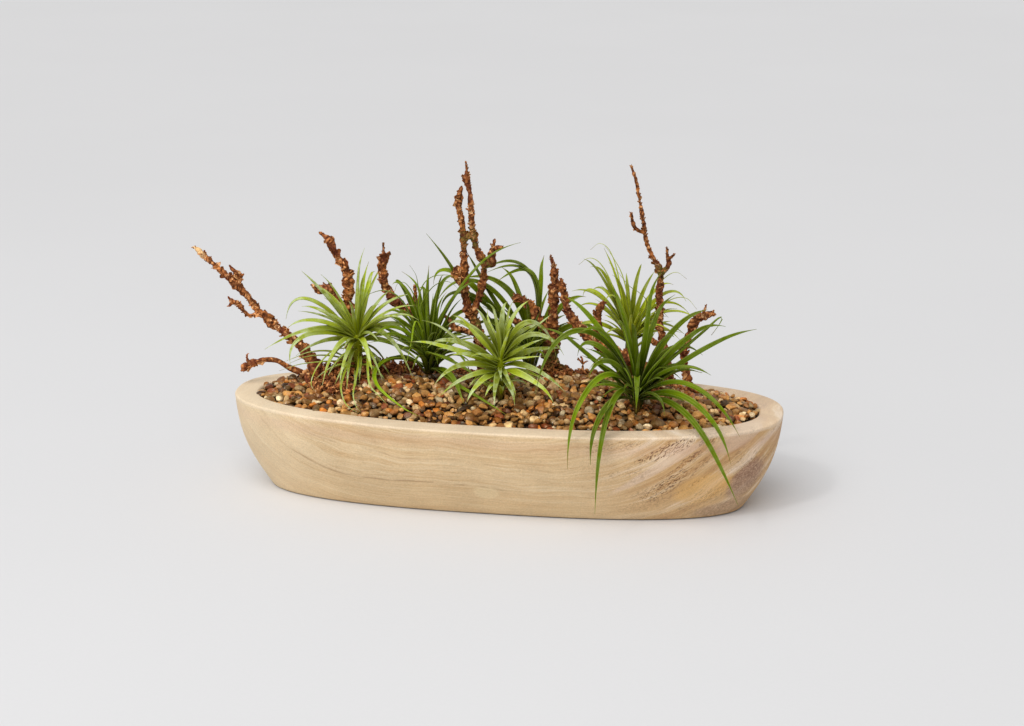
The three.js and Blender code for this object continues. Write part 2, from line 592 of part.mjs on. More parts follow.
// The gravel's top is a three-coloured triangle lattice: every third point is a pebble's crown.
function gravelRelief() {
  const rowGap = pebblePitch * Math.sqrt(0.75);
  const columns = Math.ceil(bowlLength / pebblePitch);
  const rows = Math.ceil(bowlWidth / rowGap);
  const top = [];
  for (let r = 0; r <= rows; r++)
    for (let c = 0; c <= columns; c++) {
      const q = c - Math.floor(r / 2);
      const crown = (((q - r) % 3) + 3) % 3 === 0;
      const key = 311 * r + c;
      const x = -bowlLength / 2 + pebblePitch * (c + (r % 2) / 2 + 0.3 * (draw(key) - 0.5));
      const y = -bowlWidth / 2 + rowGap * (r + 0.3 * (draw(key + 5) - 0.5));
      const near = Math.min(...feet.map((f) => Math.hypot(f.x - x, f.y - y) - f.radius));
      const rough = Math.min(1, Math.max(0, near / footClearing));
      const bump = (crown ? pebbleHeight * (0.6 + 0.6 * draw(key + 9)) : 0.7 * draw(key + 3)) - 0.9;
      top.push(new THREE.Vector3(x, y, gravelTop(x, y) + bump * rough));
    }
  const width = columns + 1;
  const count = top.length;
  const bottom = top.map((p) => new THREE.Vector3(p.x, p.y, gravelBottom - 10));
  const faces = [];
  const cell = (a, b, c) => faces.push(a, b, c, count + a, count + c, count + b);
  for (let r = 0; r < rows; r++)
    for (let c = 0; c < columns; c++) {
      const [a, b, d, e] = [r * width + c, r * width + c + 1, (r + 1) * width + c, (r + 1) * width + c + 1];
      if (r % 2) {
        cell(a, e, d);
        cell(a, b, e);
      } else {
        cell(a, b, d);
        cell(b, e, d);
      }
    }
  const rim = [];
  for (let c = 0; c < columns; c++) rim.push(c);
  for (let r = 0; r < rows; r++) rim.push(r * width + columns);
  for (let c = columns; c > 0; c--) rim.push(rows * width + c);
  for (let r = rows; r > 0; r--) rim.push(r * width);
  rim.forEach((a, i) => {
    const b = rim[(i + 1) % rim.length];
    faces.push(a, count + a, count + b, a, count + b, b);
  });
  const geometry = new THREE.BufferGeometry().setFromPoints([...top, ...bottom]);
  geometry.setIndex(faces);
  return solidOf(geometry);
}

const makeGravel = () =>
  wholeOf(gravelRelief().intersect(hollowPlug(gravelBottom, 140, fitGap, bowlSides)).subtract(wasm.Manifold.union(holes())));
const makeFoam = () =>
  wholeOf(hollowPlug(floorThickness + 6, foamTop, foamGap, bowlSides / 2).subtract(wasm.Manifold.union(holes())));

const wood = new THREE.MeshStandardMaterial({ color: 0xd9bd8f, roughness: 0.75, metalness: 0 });
const stone = new THREE.MeshStandardMaterial({ color: 0xa67c52, roughness: 0.5, metalness: 0 });
const foam = new THREE.MeshStandardMaterial({ color: 0x7d7a6c, roughness: 0.95, metalness: 0 });
const bark = new THREE.MeshStandardMaterial({ color: 0x7c4a2e, roughness: 0.9, metalness: 0 });

const garden = new THREE.Group();
function add(name, geometry, material) {
  const mesh = new THREE.Mesh(geometry, material);
  mesh.name = name;
  garden.add(mesh);
}
add("bowl", makeBowl(), wood);
add("foam_bed", geometryOf(makeFoam()), foam);
add("gravel", geometryOf(makeGravel()), stone);
for (const name of Object.keys(twigs)) add(name, geometryOf(makeTwig(name)), bark);
for (const [name, plant] of Object.entries(plants))
  add(name, geometryOf(makePlant(name)), new THREE.MeshStandardMaterial({ color: plant.color, roughness: 0.5, metalness: 0 }));

export default garden;
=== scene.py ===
import math
import bpy
import numpy as np
from mathutils import Matrix, Vector


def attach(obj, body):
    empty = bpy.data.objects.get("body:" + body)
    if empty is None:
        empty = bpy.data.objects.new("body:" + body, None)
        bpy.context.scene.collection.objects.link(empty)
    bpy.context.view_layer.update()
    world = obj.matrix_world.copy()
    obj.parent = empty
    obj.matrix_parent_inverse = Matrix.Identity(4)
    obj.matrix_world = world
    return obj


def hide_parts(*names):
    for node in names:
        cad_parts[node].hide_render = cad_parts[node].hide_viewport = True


# An air plant garden in a long wooden bowl. Shapes are worked out in millimetres,
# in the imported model's frame, and become metres when they go into a mesh.
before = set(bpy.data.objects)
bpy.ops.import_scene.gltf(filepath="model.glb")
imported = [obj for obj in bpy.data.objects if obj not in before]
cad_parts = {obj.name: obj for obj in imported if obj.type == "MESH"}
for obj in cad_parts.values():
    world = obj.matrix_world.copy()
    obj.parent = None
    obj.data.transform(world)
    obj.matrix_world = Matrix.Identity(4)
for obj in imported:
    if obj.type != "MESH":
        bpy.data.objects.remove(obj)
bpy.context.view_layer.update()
mm = 0.001
print("frame loaded:", len(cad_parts), "nodes")

# camera
cameraSettings = {
    "eye": (0.25535, -1.66801, 0.63720), "azimuth": 8.5, "elevation": 17.0,
    "lens": 68.906, "sensor": 36,
}


# The camera looks back along the unit vector of its azimuth and elevation, and stays level: right is
# square to the upright, and up is backward x right.
def addCamera():
    camera = bpy.data.objects.new("camera", bpy.data.cameras.new("camera"))
    bpy.context.collection.objects.link(camera)
    azimuth = math.radians(cameraSettings["azimuth"])
    elevation = math.radians(cameraSettings["elevation"])
    level = math.cos(elevation)
    backward = Vector((math.sin(azimuth) * level, -math.cos(azimuth) * level, math.sin(elevation)))
    rightward = Vector((math.cos(azimuth), math.sin(azimuth), 0))
    upward = backward.cross(rightward)
    place = Matrix((rightward, upward, backward)).transposed().to_4x4()
    place.translation = cameraSettings["eye"]
    camera.matrix_world = place
    camera.data.lens = cameraSettings["lens"]
    camera.data.sensor_width = cameraSettings["sensor"]
    camera.data.sensor_fit = "HORIZONTAL"
    return camera


bpy.context.scene.camera = addCamera()


# numbers
# A repeatable draw from 0 to 1 for each number: the fraction of sin(127.1 n) times 43758.5453.
def draw(n):
    s = np.sin(np.asarray(n, float) * 127.1) * 43758.5453
    return s - np.floor(s)


# The way from a to b at the share k: a + (b - a) k.
def lerp(a, b, k):
    return a + (b - a) * k


# 0 below low, 1 above high, and the cubic 3t^2 - 2t^3 between.
def smooth(low, high, value):
    t = np.clip((value - low) / (high - low), 0, 1)
    return t * t * (3 - 2 * t)


# Each vector over its own length.
def unit(vectors):
    return vectors / np.maximum(np.linalg.norm(vectors, axis=-1, keepdims=True), 1e-9)


# A draw from 0 to 1 for each whole-numbered cell of space, by mixing its bits.
def cellDraw(cell, seed):
    mixed = np.full(cell.shape[:-1], np.uint64(seed * 7919 + 17))
    keep = np.uint64(0xFFFFFFFF)
    for axis, prime in enumerate((73856093, 19349663, 83492791)):
        mixed ^= cell[..., axis].astype(np.int64).astype(np.uint64) * np.uint64(prime)
        mixed = (mixed ^ (mixed >> np.uint64(15))) * np.uint64(2246822519) & keep
    mixed = (mixed ^ (mixed >> np.uint64(13))) * np.uint64(3266489917) & keep
    return (mixed ^ (mixed >> np.uint64(16))).astype(float) / 2.0**32


# Smooth noise from -1 to 1: draws at the corners of cells of that size, blended by a cubic, with each
# further octave half the size and half as strong.
def noise(points, size, seed=0, octaves=1):
    total = np.zeros(points.shape[:-1])
    weight, reach = 1.0, 0.0
    for octave in range(octaves):
        at = points / (size / 2**octave) + 31.7 * octave
        cell = np.floor(at)
        part = at - cell
        part = part * part * (3 - 2 * part)
        value = np.zeros_like(total)
        for corner in np.ndindex(2, 2, 2):
            offset = np.array(corner)
            share = np.prod(np.where(offset == 1, part, 1 - part), axis=-1)
            value += share * cellDraw(cell + offset, seed + octave)
        total += weight * (2 * value - 1)
        reach += weight
        weight *= 0.5
    return total / reach


# How far each point is from its nearest seed point and from its second nearest, in cells, with one
# seed point to a cell of that size.
def crackle(points, size, seed=0):
    at = points / size
    cell = np.floor(at)
    near = np.full(at.shape[:-1], 9.0)  # farther than any seed point
    second = near.copy()
    for corner in np.ndindex(3, 3, 3):
        around = cell + np.array(corner) - 1
        draws = [cellDraw(around, seed + k) for k in (1, 2, 3)]
        gap = np.linalg.norm(around + np.stack(draws, axis=-1) - at, axis=-1)
        second = np.minimum(second, np.maximum(near, gap))
        near = np.minimum(near, gap)
    return near, second


# meshes
# Points and faces that are gathered from several grids before they become one mesh.
class shape:
    def __init__(self):
        self.points, self.faces, self.marks, self.count = [], [], {}, 0

    # Marks are one number for each point, or one for all of them.
    def add(self, points, faces, **marks):
        points = points.reshape(-1, 3)
        self.points.append(points)
        self.faces.append(faces + self.count)
        self.count += len(points)
        for name, values in marks.items():
            values = np.broadcast_to(np.ravel(values), (len(points),))
            self.marks.setdefault(name, []).append(values)

    # Triangles go through as quads whose last two corners are the same, and lose the last one.
    def toMesh(self, name, flat=False, crease=None):
        points = np.concatenate(self.points) * mm
        faces = np.concatenate([
            f if f.shape[1] == 4 else np.column_stack([f, f[:, -1]]) for f in self.faces])
        isTriangle = faces[:, 2] == faces[:, 3]
        sizes = np.where(isTriangle, 3, 4)
        starts = np.concatenate([[0], np.cumsum(sizes)[:-1]])
        dropped = np.column_stack([np.zeros((len(faces), 3), bool), isTriangle])
        corners = faces[~dropped]
        mesh = bpy.data.meshes.new(name)
        mesh.vertices.add(len(points))
        mesh.vertices.foreach_set("co", points.ravel())
        mesh.loops.add(len(corners))
        mesh.loops.foreach_set("vertex_index", corners.astype(np.int32))
        mesh.polygons.add(len(faces))
        mesh.polygons.foreach_set("loop_start", starts.astype(np.int32))
        mesh.polygons.foreach_set("loop_total", sizes.astype(np.int32))
        mesh.update(calc_edges=True)
        mesh.validate()
        mesh.polygons.foreach_set("use_smooth", np.full(len(mesh.polygons), not flat))
        if crease is not None:  # edges that turn by more than this stay sharp
            mesh.set_sharp_from_angle(angle=math.radians(crease))
        for mark, parts in self.marks.items():
            values = np.concatenate(parts).astype(np.float32)
            mesh.attributes.new(mark, "FLOAT", "POINT").data.foreach_set("value", values)
        return mesh


# Quads between rings of points, and a fan of triangles over each end. The last two points are the
# middles of the ends.
def tubeFaces(rings, around):
    i, j = np.meshgrid(np.arange(rings - 1), np.arange(around), indexing="ij")
    k = (j + 1) % around
    quads = np.stack([i * around + j, i * around + k, (i + 1) * around + k, (i + 1) * around + j],
                     axis=-1).reshape(-1, 4)
    j = np.arange(around)
    k = (j + 1) % around
    first, last, top = rings * around, rings * around + 1, (rings - 1) * around
    startFan = np.stack([np.full(around, first), k, j, j], axis=-1)
    endFan = np.stack([np.full(around, last), top + j, top + k, top + k], axis=-1)
    return np.concatenate([quads, startFan, endFan])


# A closed skin over rings of points, an array rings x around x 3, with the mean of each end ring as
# the middle of its fan.
def closedTube(rings):
    ends = np.stack([rings[0].mean(axis=0), rings[-1].mean(axis=0)])
    return np.concatenate([rings.reshape(-1, 3), ends]), tubeFaces(*rings.shape[:2])


# Puts a mesh into the scene as a piece of the planter, standing for these nodes.
def makePiece(name, mesh, material, slot, *nodes):
    piece = bpy.data.objects.new(name, mesh)
    bpy.context.collection.objects.link(piece)
    mesh.materials.append(material)
    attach(piece, "root")
    if nodes:
        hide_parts(*nodes)


# material helpers
# A colour as a screen shows it, 0 to 255, as the light that the shaders reckon with.
def toLinear(red, green, blue):
    value = np.array([red, green, blue]) / 255
    return (*np.where(value <= 0.04045, value / 12.92, ((value + 0.055) / 1.055) ** 2.4), 1)


# Adds nodes to one tree. Each call returns the new node's output.
class bench:
    def __init__(self, tree):
        self.tree = tree

    def put(self, kind, inputs=None, output=0, **settings):
        node = self.tree.nodes.new("ShaderNode" + kind)
        for key, value in settings.items():
            setattr(node, key, value)
        for key, value in (inputs or {}).items():
            if isinstance(value, bpy.types.NodeSocket):
                self.tree.links.new(value, node.inputs[key])
            else:
                node.inputs[key].default_value = value
        return node.outputs[output]

    def math(self, operation, a, b=0.0, c=0.0):
        return self.put("Math", {0: a, 1: b, 2: c}, operation=operation)

    def plus(self, a, b):
        return self.math("ADD", a, b)

    def minus(self, a, b):
        return self.math("SUBTRACT", a, b)

    def times(self, a, b):
        return self.math("MULTIPLY", a, b)

    # From toLow to toHigh while the value goes from low to high, eased at both ends.
    def between(self, value, low, high, toLow=0.0, toHigh=1.0):
        inputs = {"Value": value, "From Min": low, "From Max": high, "To Min": toLow, "To Max": toHigh}
        return self.put("MapRange", inputs, interpolation_type="SMOOTHSTEP")

    def mix(self, factor, a, b, blend="MIX"):
        return self.put("Mix", {0: factor, 6: a, 7: b}, output=2, data_type="RGBA", blend_type=blend)

    # A screen colour laid over another where the mask says, as strongly as given.
    def lay(self, color, mask, shade, strength=None):
        factor = mask if strength is None else self.times(mask, strength)
        return self.mix(factor, color, toLinear(*shade))

    # A colour made darker or lighter by a factor.
    def gain(self, color, factor):
        return self.mix(1.0, color, self.vector(factor, factor, factor), "MULTIPLY")

    def noise(self, vector, scale, detail=3.0, roughness=0.55, distortion=0.0):
        inputs = {"Vector": vector, "Scale": scale, "Detail": detail, "Roughness": roughness,
                  "Distortion": distortion}
        return self.put("TexNoise", inputs)

    def cells(self, vector, scale):
        return self.put("TexVoronoi", {"Vector": vector, "Scale": scale}, output="Distance")

    def vector(self, x, y, z):
        return self.put("CombineXYZ", {0: x, 1: y, 2: z})

    # A vector whose x, y and z are scaled, each by its own factor.
    def stretch(self, x, y, z, byX, byY, byZ):
        return self.vector(self.times(x, byX), self.times(y, byY), self.times(z, byZ))

    def mark(self, name):
        return self.put("Attribute", output="Fac", attribute_name=name)

    def ramp(self, factor, stops, stepped=False):
        color = self.put("ValToRGB", {0: factor})
        band = color.node.color_ramp
        band.interpolation = "CONSTANT" if stepped else "LINEAR"
        for _ in stops[2:]:  # a new ramp has two stops
            band.elements.new(0.5)
        for element, (place, shade) in zip(band.elements, stops):
            element.position = place
            element.color = toLinear(*shade)
        return color


# A material with its bench, its shader, and the object's own coordinates in millimetres. The
# constants are set straight on the shader's sockets.
def newMaterial(name, constants):
    material = bpy.data.materials.new(name)
    material.use_nodes = True
    tree = material.node_tree
    shader = tree.nodes["Principled BSDF"]
    for key, value in constants.items():
        shader.inputs[key].default_value = value
    b = bench(tree)
    where = b.put("TexCoord", output="Object")
    point = b.put("VectorMath", {0: where, 3: 1 / mm}, operation="SCALE")
    return material, b, shader, point


# Links what varies over the surface to the shader; the bump's depth is in millimetres.
def finish(b, shader, color, roughness=None, height=None, depth=0.3, strength=0.6):
    b.tree.links.new(color, shader.inputs["Base Color"])
    if roughness is not None:
        b.tree.links.new(roughness, shader.inputs["Roughness"])
    if height is not None:
        bump = b.put("Bump", {"Height": height, "Distance": depth * mm, "Strength": strength})
        b.tree.links.new(bump, shader.inputs["Normal"])


# Uneven colour that wood, stone, bark and leaves share: large soft patches and fine specks, which
# darken and lighten the colour that comes in.
def makeMottle():
    tree = bpy.data.node_groups.new("mottle", "ShaderNodeTree")
    sockets = {"Color": (0.5, 0.5, 0.5, 1), "Vector": None, "Patch Size": 10.0, "Patches": 0.3,
               "Speck Size": 1.0, "Specks": 0.2}
    for key, value in sockets.items():
        kind = key if key in ("Color", "Vector") else "Float"
        socket = tree.interface.new_socket(key, in_out="INPUT", socket_type="NodeSocket" + kind)
        if value is not None:
            socket.default_value = value
    tree.interface.new_socket("Color", in_out="OUTPUT", socket_type="NodeSocketColor")
    b = bench(tree)
    given = tree.nodes.new("NodeGroupInput").outputs
    wanted = tree.nodes.new("NodeGroupOutput").inputs
    shifts = []
    for size, amount, detail in (("Patch Size", "Patches", 3.0), ("Speck Size", "Specks", 2.0)):
        cloud = b.noise(given["Vector"], b.math("DIVIDE", 1.0, given[size]), detail, 0.6)
        shifts.append(b.times(b.between(cloud, 0.3, 0.7, -1.0, 1.0), given[amount]))
    factor = b.plus(b.plus(*shifts), 1.0)
    tree.links.new(b.gain(given["Color"], factor), wanted["Color"])
    return tree


mottle = makeMottle()


# The shared group, placed in a material with its own values.
def mottled(b, color, vector, patchSize, patches, speckSize, specks):
    inputs = {"Color": color, "Vector": vector, "Patch Size": patchSize, "Patches": patches,
              "Speck Size": speckSize, "Specks": specks}
    return b.put("Group", inputs, "Color", node_tree=mottle)


# wood
wood = {
    "tones": [(0.22, (188, 150, 106)), (0.4, (206, 173, 129)), (0.52, (217, 189, 147)),
              (0.66, (226, 202, 164)), (0.8, (232, 211, 176))],
    "endTones": [(0.3, (154, 106, 62)), (0.42, (186, 140, 88)), (0.51, (204, 164, 112)),
                 (0.57, (220, 190, 152)), (0.66, (238, 216, 194))],
    # where the growth layers start to sweep up at each end, how softly and how steeply
    "sweepRight": (118.0, 55.0, 0.66), "sweepLeft": (-176.0, 60.0, 0.8),
    "bow": 0.0034,
    # how the layers are crumpled: scales of the noise along x, y and z, and millimetres
    "crumples": [(0.008, 0.015, 0.02, 26.0), (0.035, 0.03, 0.06, 4.0)],
    # soft patches on the front wall: x, z, half length, half width, slant in degrees, strength and
    # colour, or no colour where the wood is left rough
    "patches": [(185, 34, 30, 15, 20, 0.65, (222, 174, 102)),
                (150, 60, 60, 4.5, 33, 0.6, (222, 196, 172)),
                (214, 82, 26, 9, 30, 0.5, (224, 200, 178)),
                (219, 38, 26, 13, 58, 0.85, None), (204, 10, 34, 8, 8, 0.8, None),
                (-5, 26, 12, 8, 0, 0.5, (233, 212, 170))],
    # dark layers: level, half width, from x, to x, strength and colour
    "darkLayers": [(54.0, 2.0, -205.0, -20.0, 0.5, (150, 108, 70)),
                   (82.0, 1.6, -200.0, 20.0, 0.32, (160, 120, 86))],
    # where the pores crowd: x, z, half length, half width, slant in degrees and strength
    "pores": [(157, 76, 34, 6, 24, 1.0), (150, 38, 30, 8, 42, 0.9), (172, 65, 14, 4, 34, 0.8),
              (192, 84, 20, 5, 30, 0.6), (108, 77, 30, 5, 6, 0.45), (184, 22, 26, 8, 30, 0.5),
              (118, 52, 24, 3, 10, 0.35), (128, 16, 26, 6, 14, 0.4)],
}


# A pale plank's figure on the bowl. The growth layers lie level along the middle, sweep up at both
# ends, and are crumpled by noise; tones, fibres and pores all follow them.
def makeWood():
    material, b, shader, point = newMaterial("carved_wood", {"Specular IOR Level": 0.35})
    x, y, z = (b.put("SeparateXYZ", {0: point}, output=n) for n in range(3))
    start, blend, slope = wood["sweepRight"]
    sweepRight = b.times(b.math("SMOOTH_MAX", b.minus(x, start), 0.0, blend), slope)
    start, blend, slope = wood["sweepLeft"]
    sweepLeft = b.times(b.math("SMOOTH_MAX", b.minus(start, x), 0.0, blend), slope)
    crumples = [b.times(b.minus(b.noise(b.stretch(x, y, z, *scales), 1.0, 2.0), 0.5), depth)
                for *scales, depth in wood["crumples"]]
    layer = b.minus(b.minus(z, sweepRight), sweepLeft)
    layer = b.plus(b.plus(layer, b.times(b.times(y, y), wood["bow"])), b.plus(*crumples))

    # The wood's own coordinates: along the grain, and across its layers.
    def along(across, length, depth):
        return b.stretch(x, y, layer, length, depth, across)

    band = b.noise(along(0.085, 0.004, 0.01), 1.0, 2.0)
    streak = b.noise(along(0.5, 0.009, 0.03), 1.0, 5.0, 0.68)
    fibre = b.noise(along(2.6, 0.05, 0.4), 1.0, 3.0, 0.6)
    tone = b.plus(b.plus(b.times(band, 0.5), b.times(streak, 0.5)), b.times(fibre, 0.36))
    color = b.ramp(b.minus(tone, 0.16), wood["tones"])
    rightEnd = b.between(b.plus(x, b.times(band, 80.0)), 105.0, 210.0)
    endBand = b.noise(along(0.075, 0.006, 0.02), 1.0, 3.0, 0.6)
    endTone = b.plus(b.times(endBand, 0.74), b.times(streak, 0.26))
    color = b.mix(b.times(rightEnd, 0.9), color, b.ramp(endTone, wood["endTones"]))
    darkFibres = b.times(b.between(fibre, 0.46, 0.36), b.between(rightEnd, 0.0, 1.0, 0.2, 0.55))
    color = b.lay(color, darkFibres, (168, 122, 84))

    # A soft slanting patch on the front wall: inside the ellipse whose squares sum to one, frayed by
    # the streaks.
    def spot(atX, atZ, long, wide, slant, ragged=1.6):
        turn = math.radians(slant)
        dx, dz = b.minus(x, atX), b.minus(z, atZ)
        u = b.plus(b.times(dx, math.cos(turn) / long), b.times(dz, math.sin(turn) / long))
        v = b.minus(b.times(dz, math.cos(turn) / wide), b.times(dx, math.sin(turn) / wide))
        away = b.plus(b.times(u, u), b.times(v, v))
        away = b.plus(away, b.times(b.minus(streak, 0.5), ragged))
        return b.times(b.between(away, 0.45, 1.15, 1.0, 0.0), b.between(y, -40.0, -10.0, 1.0, 0.0))

    coarse = b.noise(point, 0.55, 3.0, 0.7)
    rough = b.mix(b.between(coarse, 0.42, 0.6), toLinear(140, 104, 84), toLinear(186, 152, 128))
    for *place, strength, shade in wood["patches"]:
        color = b.mix(b.times(spot(*place), strength), color, toLinear(*shade) if shade else rough)

    # One dark layer, a soft band where the layers pass a level, faded at both ends.
    def darkLayer(level, wide, fromX, toX):
        off = b.math("ABSOLUTE", b.minus(layer, level))
        ends = b.times(b.between(x, fromX - 25.0, fromX), b.between(x, toX, toX + 60.0, 1.0, 0.0))
        broken = b.between(b.noise(point, 0.045, 2.0), 0.35, 0.6)
        return b.times(b.times(b.between(off, 0.0, wide, 1.0, 0.0), ends), broken)

    for *place, strength, shade in wood["darkLayers"]:
        color = b.lay(color, darkLayer(*place), shade, strength)

    # pores: dark dots that crowd in places, with pale wood between them, and short dashes elsewhere
    dots = b.noise(along(0.8, 0.42, 0.6), 1.0, 2.0, 0.6, 0.6)
    crowd = b.times(b.between(b.noise(along(0.11, 0.022, 0.05), 1.0, 3.0), 0.5, 0.62, 0.0, 0.5),
                    b.between(x, 20.0, 190.0, 0.0, 1.0))
    for *place, strength in wood["pores"]:
        crowd = b.math("MAXIMUM", crowd, b.times(spot(*place, 3.0), strength))
    poreMask = b.times(b.between(dots, 0.53, 0.6), crowd)
    color = b.lay(color, b.times(b.between(dots, 0.42, 0.36), b.times(crowd, 0.5)), (238, 214, 178))
    color = b.lay(color, poreMask, (98, 60, 38), 0.95)
    dash = b.between(b.cells(along(1.3, 0.14, 0.5), 1.0), 0.1, 0.28, 1.0, 0.0)
    dashMask = b.times(dash, b.between(b.noise(along(0.2, 0.02, 0.05), 1.0, 2.0), 0.45, 0.6))
    color = b.lay(color, dashMask, (158, 112, 78), 0.42)

    # the band under the rim, the rim itself, a painted contact shadow along the foot, where the lower
    # front is paler, and the left end painted paler as light from the left
    underRim = b.times(b.between(z, 64.0, 74.0), b.between(z, 76.0, 82.0, 1.0, 0.0))
    color = b.lay(color, b.times(underRim, b.between(band, 0.3, 0.7, 0.15, 0.4)), (198, 156, 128))
    color = b.lay(color, b.between(z, 82.5, 85.0, 0.0, 0.5), (236, 218, 194))
    # painted shadow: a dark line along the foot, where the bowl meets the floor
    color = b.lay(color, b.between(z, 0.2, 1.6, 0.75, 0.0), (84, 52, 30))
    color = b.lay(color, b.between(z, 45.0, 5.0, 0.0, 0.22), (240, 214, 168))
    # painted light: the left end is made paler, as if lit more from the left
    color = b.lay(color, b.between(x, -130.0, -235.0, 0.0, 0.42), (238, 218, 184))
    color = mottled(b, color, point, 40.0, 0.05, 0.9, 0.1)
    roughness = b.between(streak, 0.3, 0.7, 0.66, 0.52)
    height = b.plus(b.times(fibre, 0.5), b.times(streak, 0.5))
    height = b.minus(height, b.times(poreMask, 0.8))
    finish(b, shader, color, roughness, height, 0.35, 0.5)
    return material


# stone, grit and foam
# Each tone, and the share of the pebbles from which it starts.
pebbleTones = [
    (0.0, (202, 146, 78)), (0.18, (226, 188, 130)), (0.33, (200, 120, 42)), (0.42, (160, 104, 52)),
    (0.57, (138, 68, 36)), (0.64, (146, 108, 58)), (0.72, (192, 138, 72)), (0.87, (124, 94, 56)),
    (0.91, (58, 36, 20)), (0.95, (242, 218, 172)),
]


# Tumbled pea gravel: each pebble has one of ten tones and a shade of its own, cloudy inside and
# speckled, with painted shade that darkens its underside and the lower layer, and a slight wet gloss.
def makeStone():
    material, b, shader, point = newMaterial(
        "pebbles", {"Coat Weight": 0.2, "Coat Roughness": 0.14, "Specular IOR Level": 0.5,
                    "Specular Tint": (1.0, 0.8, 0.5, 1)})
    color = b.ramp(b.mark("tint"), pebbleTones, stepped=True)
    cloud = b.noise(point, 0.22, 4.0, 0.6, 0.6)
    color = b.lay(color, b.between(cloud, 0.45, 0.68, 0.0, 0.55), (140, 78, 34))
    color = b.lay(color, b.between(cloud, 0.5, 0.3, 0.0, 0.3), (226, 186, 130))
    color = mottled(b, color, point, 5.0, 0.2, 0.6, 0.2)
    shade = b.between(b.mark("shade"), 0.0, 1.0, 0.45, 1.24)
    # painted shade: darker towards each pebble's underside and over the whole lower layer, for the
    # shade between pebbles
    color = b.gain(color, b.times(shade, b.between(b.mark("low"), -0.7, 0.3, 0.06, 1.0)))
    roughness = b.between(cloud, 0.3, 0.7, 0.2, 0.42)
    finish(b, shader, color, roughness, b.noise(point, 0.7, 3.0, 0.6), 0.4, 0.5)
    return material


# A dark fill that stands in as painted shade in the gaps between and under the pebbles.
def makeGapShade():
    material, b, shader, point = newMaterial("gap_shade_fill", {"Roughness": 0.85})
    tones = [(0.35, (26, 14, 8)), (0.5, (58, 33, 20)), (0.7, (104, 68, 42))]
    color = mottled(b, b.ramp(b.noise(point, 0.5, 4.0, 0.7), tones), point, 8.0, 0.2, 0.8, 0.2)
    finish(b, shader, color, None, b.cells(point, 0.5), 0.8, 0.7)
    return material


# Dry, open-celled florist's foam.
def makeFoam():
    material, b, shader, point = newMaterial("dry_foam", {"Roughness": 0.95})
    pit = b.cells(point, 1.6)
    color = b.ramp(pit, [(0.1, (92, 92, 78)), (0.6, (150, 149, 132))])
    finish(b, shader, mottled(b, color, point, 20.0, 0.1, 1.0, 0.1), None, pit, 0.4, 0.6)
    return material


# bark
barkTones = [(0.22, (40, 19, 9)), (0.36, (102, 56, 30)), (0.5, (166, 106, 62)), (0.64, (210, 153, 98)),
             (0.84, (240, 202, 156))]


# Flaking red-brown bark: dark in the cracks, tan and orange on the scales, with moss green and bare
# pale wood where their marks say, and painted paler at the left as if lit from there.
def makeBark():
    material, b, shader, point = newMaterial(
        "bark", {"Specular IOR Level": 0.22, "Specular Tint": (1.0, 0.78, 0.5, 1)})
    ridge = b.mark("ridge")
    grain = b.noise(point, 0.3, 4.0, 0.6)
    color = b.ramp(b.plus(b.times(ridge, 0.62), b.times(grain, 0.52)), barkTones)
    color = b.lay(color, b.between(b.noise(point, 0.05, 2.0), 0.47, 0.62, 0.0, 0.6), (104, 50, 36))
    color = b.lay(color, b.between(b.noise(point, 0.13, 3.0), 0.5, 0.68, 0.0, 0.5), (190, 116, 58))
    moss = b.times(b.mark("moss"), b.between(b.noise(point, 0.35, 3.0), 0.4, 0.58))
    color = b.lay(color, moss, (98, 104, 42), 0.8)
    color = b.lay(color, b.between(b.mark("bare"), 0.2, 0.9), (204, 168, 120))
    x = b.put("SeparateXYZ", {0: point}, output=0)
    color = b.gain(color, b.between(x, -60.0, -130.0, 1.0, 1.22))  # painted light: the twigs at the left are painted paler, as if lit more from the left
    color = mottled(b, color, point, 14.0, 0.15, 1.3, 0.38)
    height = b.plus(b.times(grain, 0.6), b.times(ridge, 0.4))
    finish(b, shader, color, b.between(grain, 0.3, 0.7, 0.92, 0.72), height, 0.7, 0.9)
    return material


# leaves
leafTones = {  # the blade, its root, which for the dark green plants also holds painted shade deep in the rosette, and how frosted it is
    "plant_left": ((156, 169, 52), (138, 146, 0), 0.9),
    "plant_back_left": ((102, 122, 2), (32, 42, 0), 0.14),
    "plant_behind": ((102, 120, 4), (40, 50, 0), 0.12),
    "plant_front": ((158, 170, 54), (118, 128, 0), 0.98),
    "plant_back_right": ((160, 170, 32), (112, 120, 6), 0.3),
    "plant_right": ((92, 112, 0), (24, 40, 0), 0.08),
}
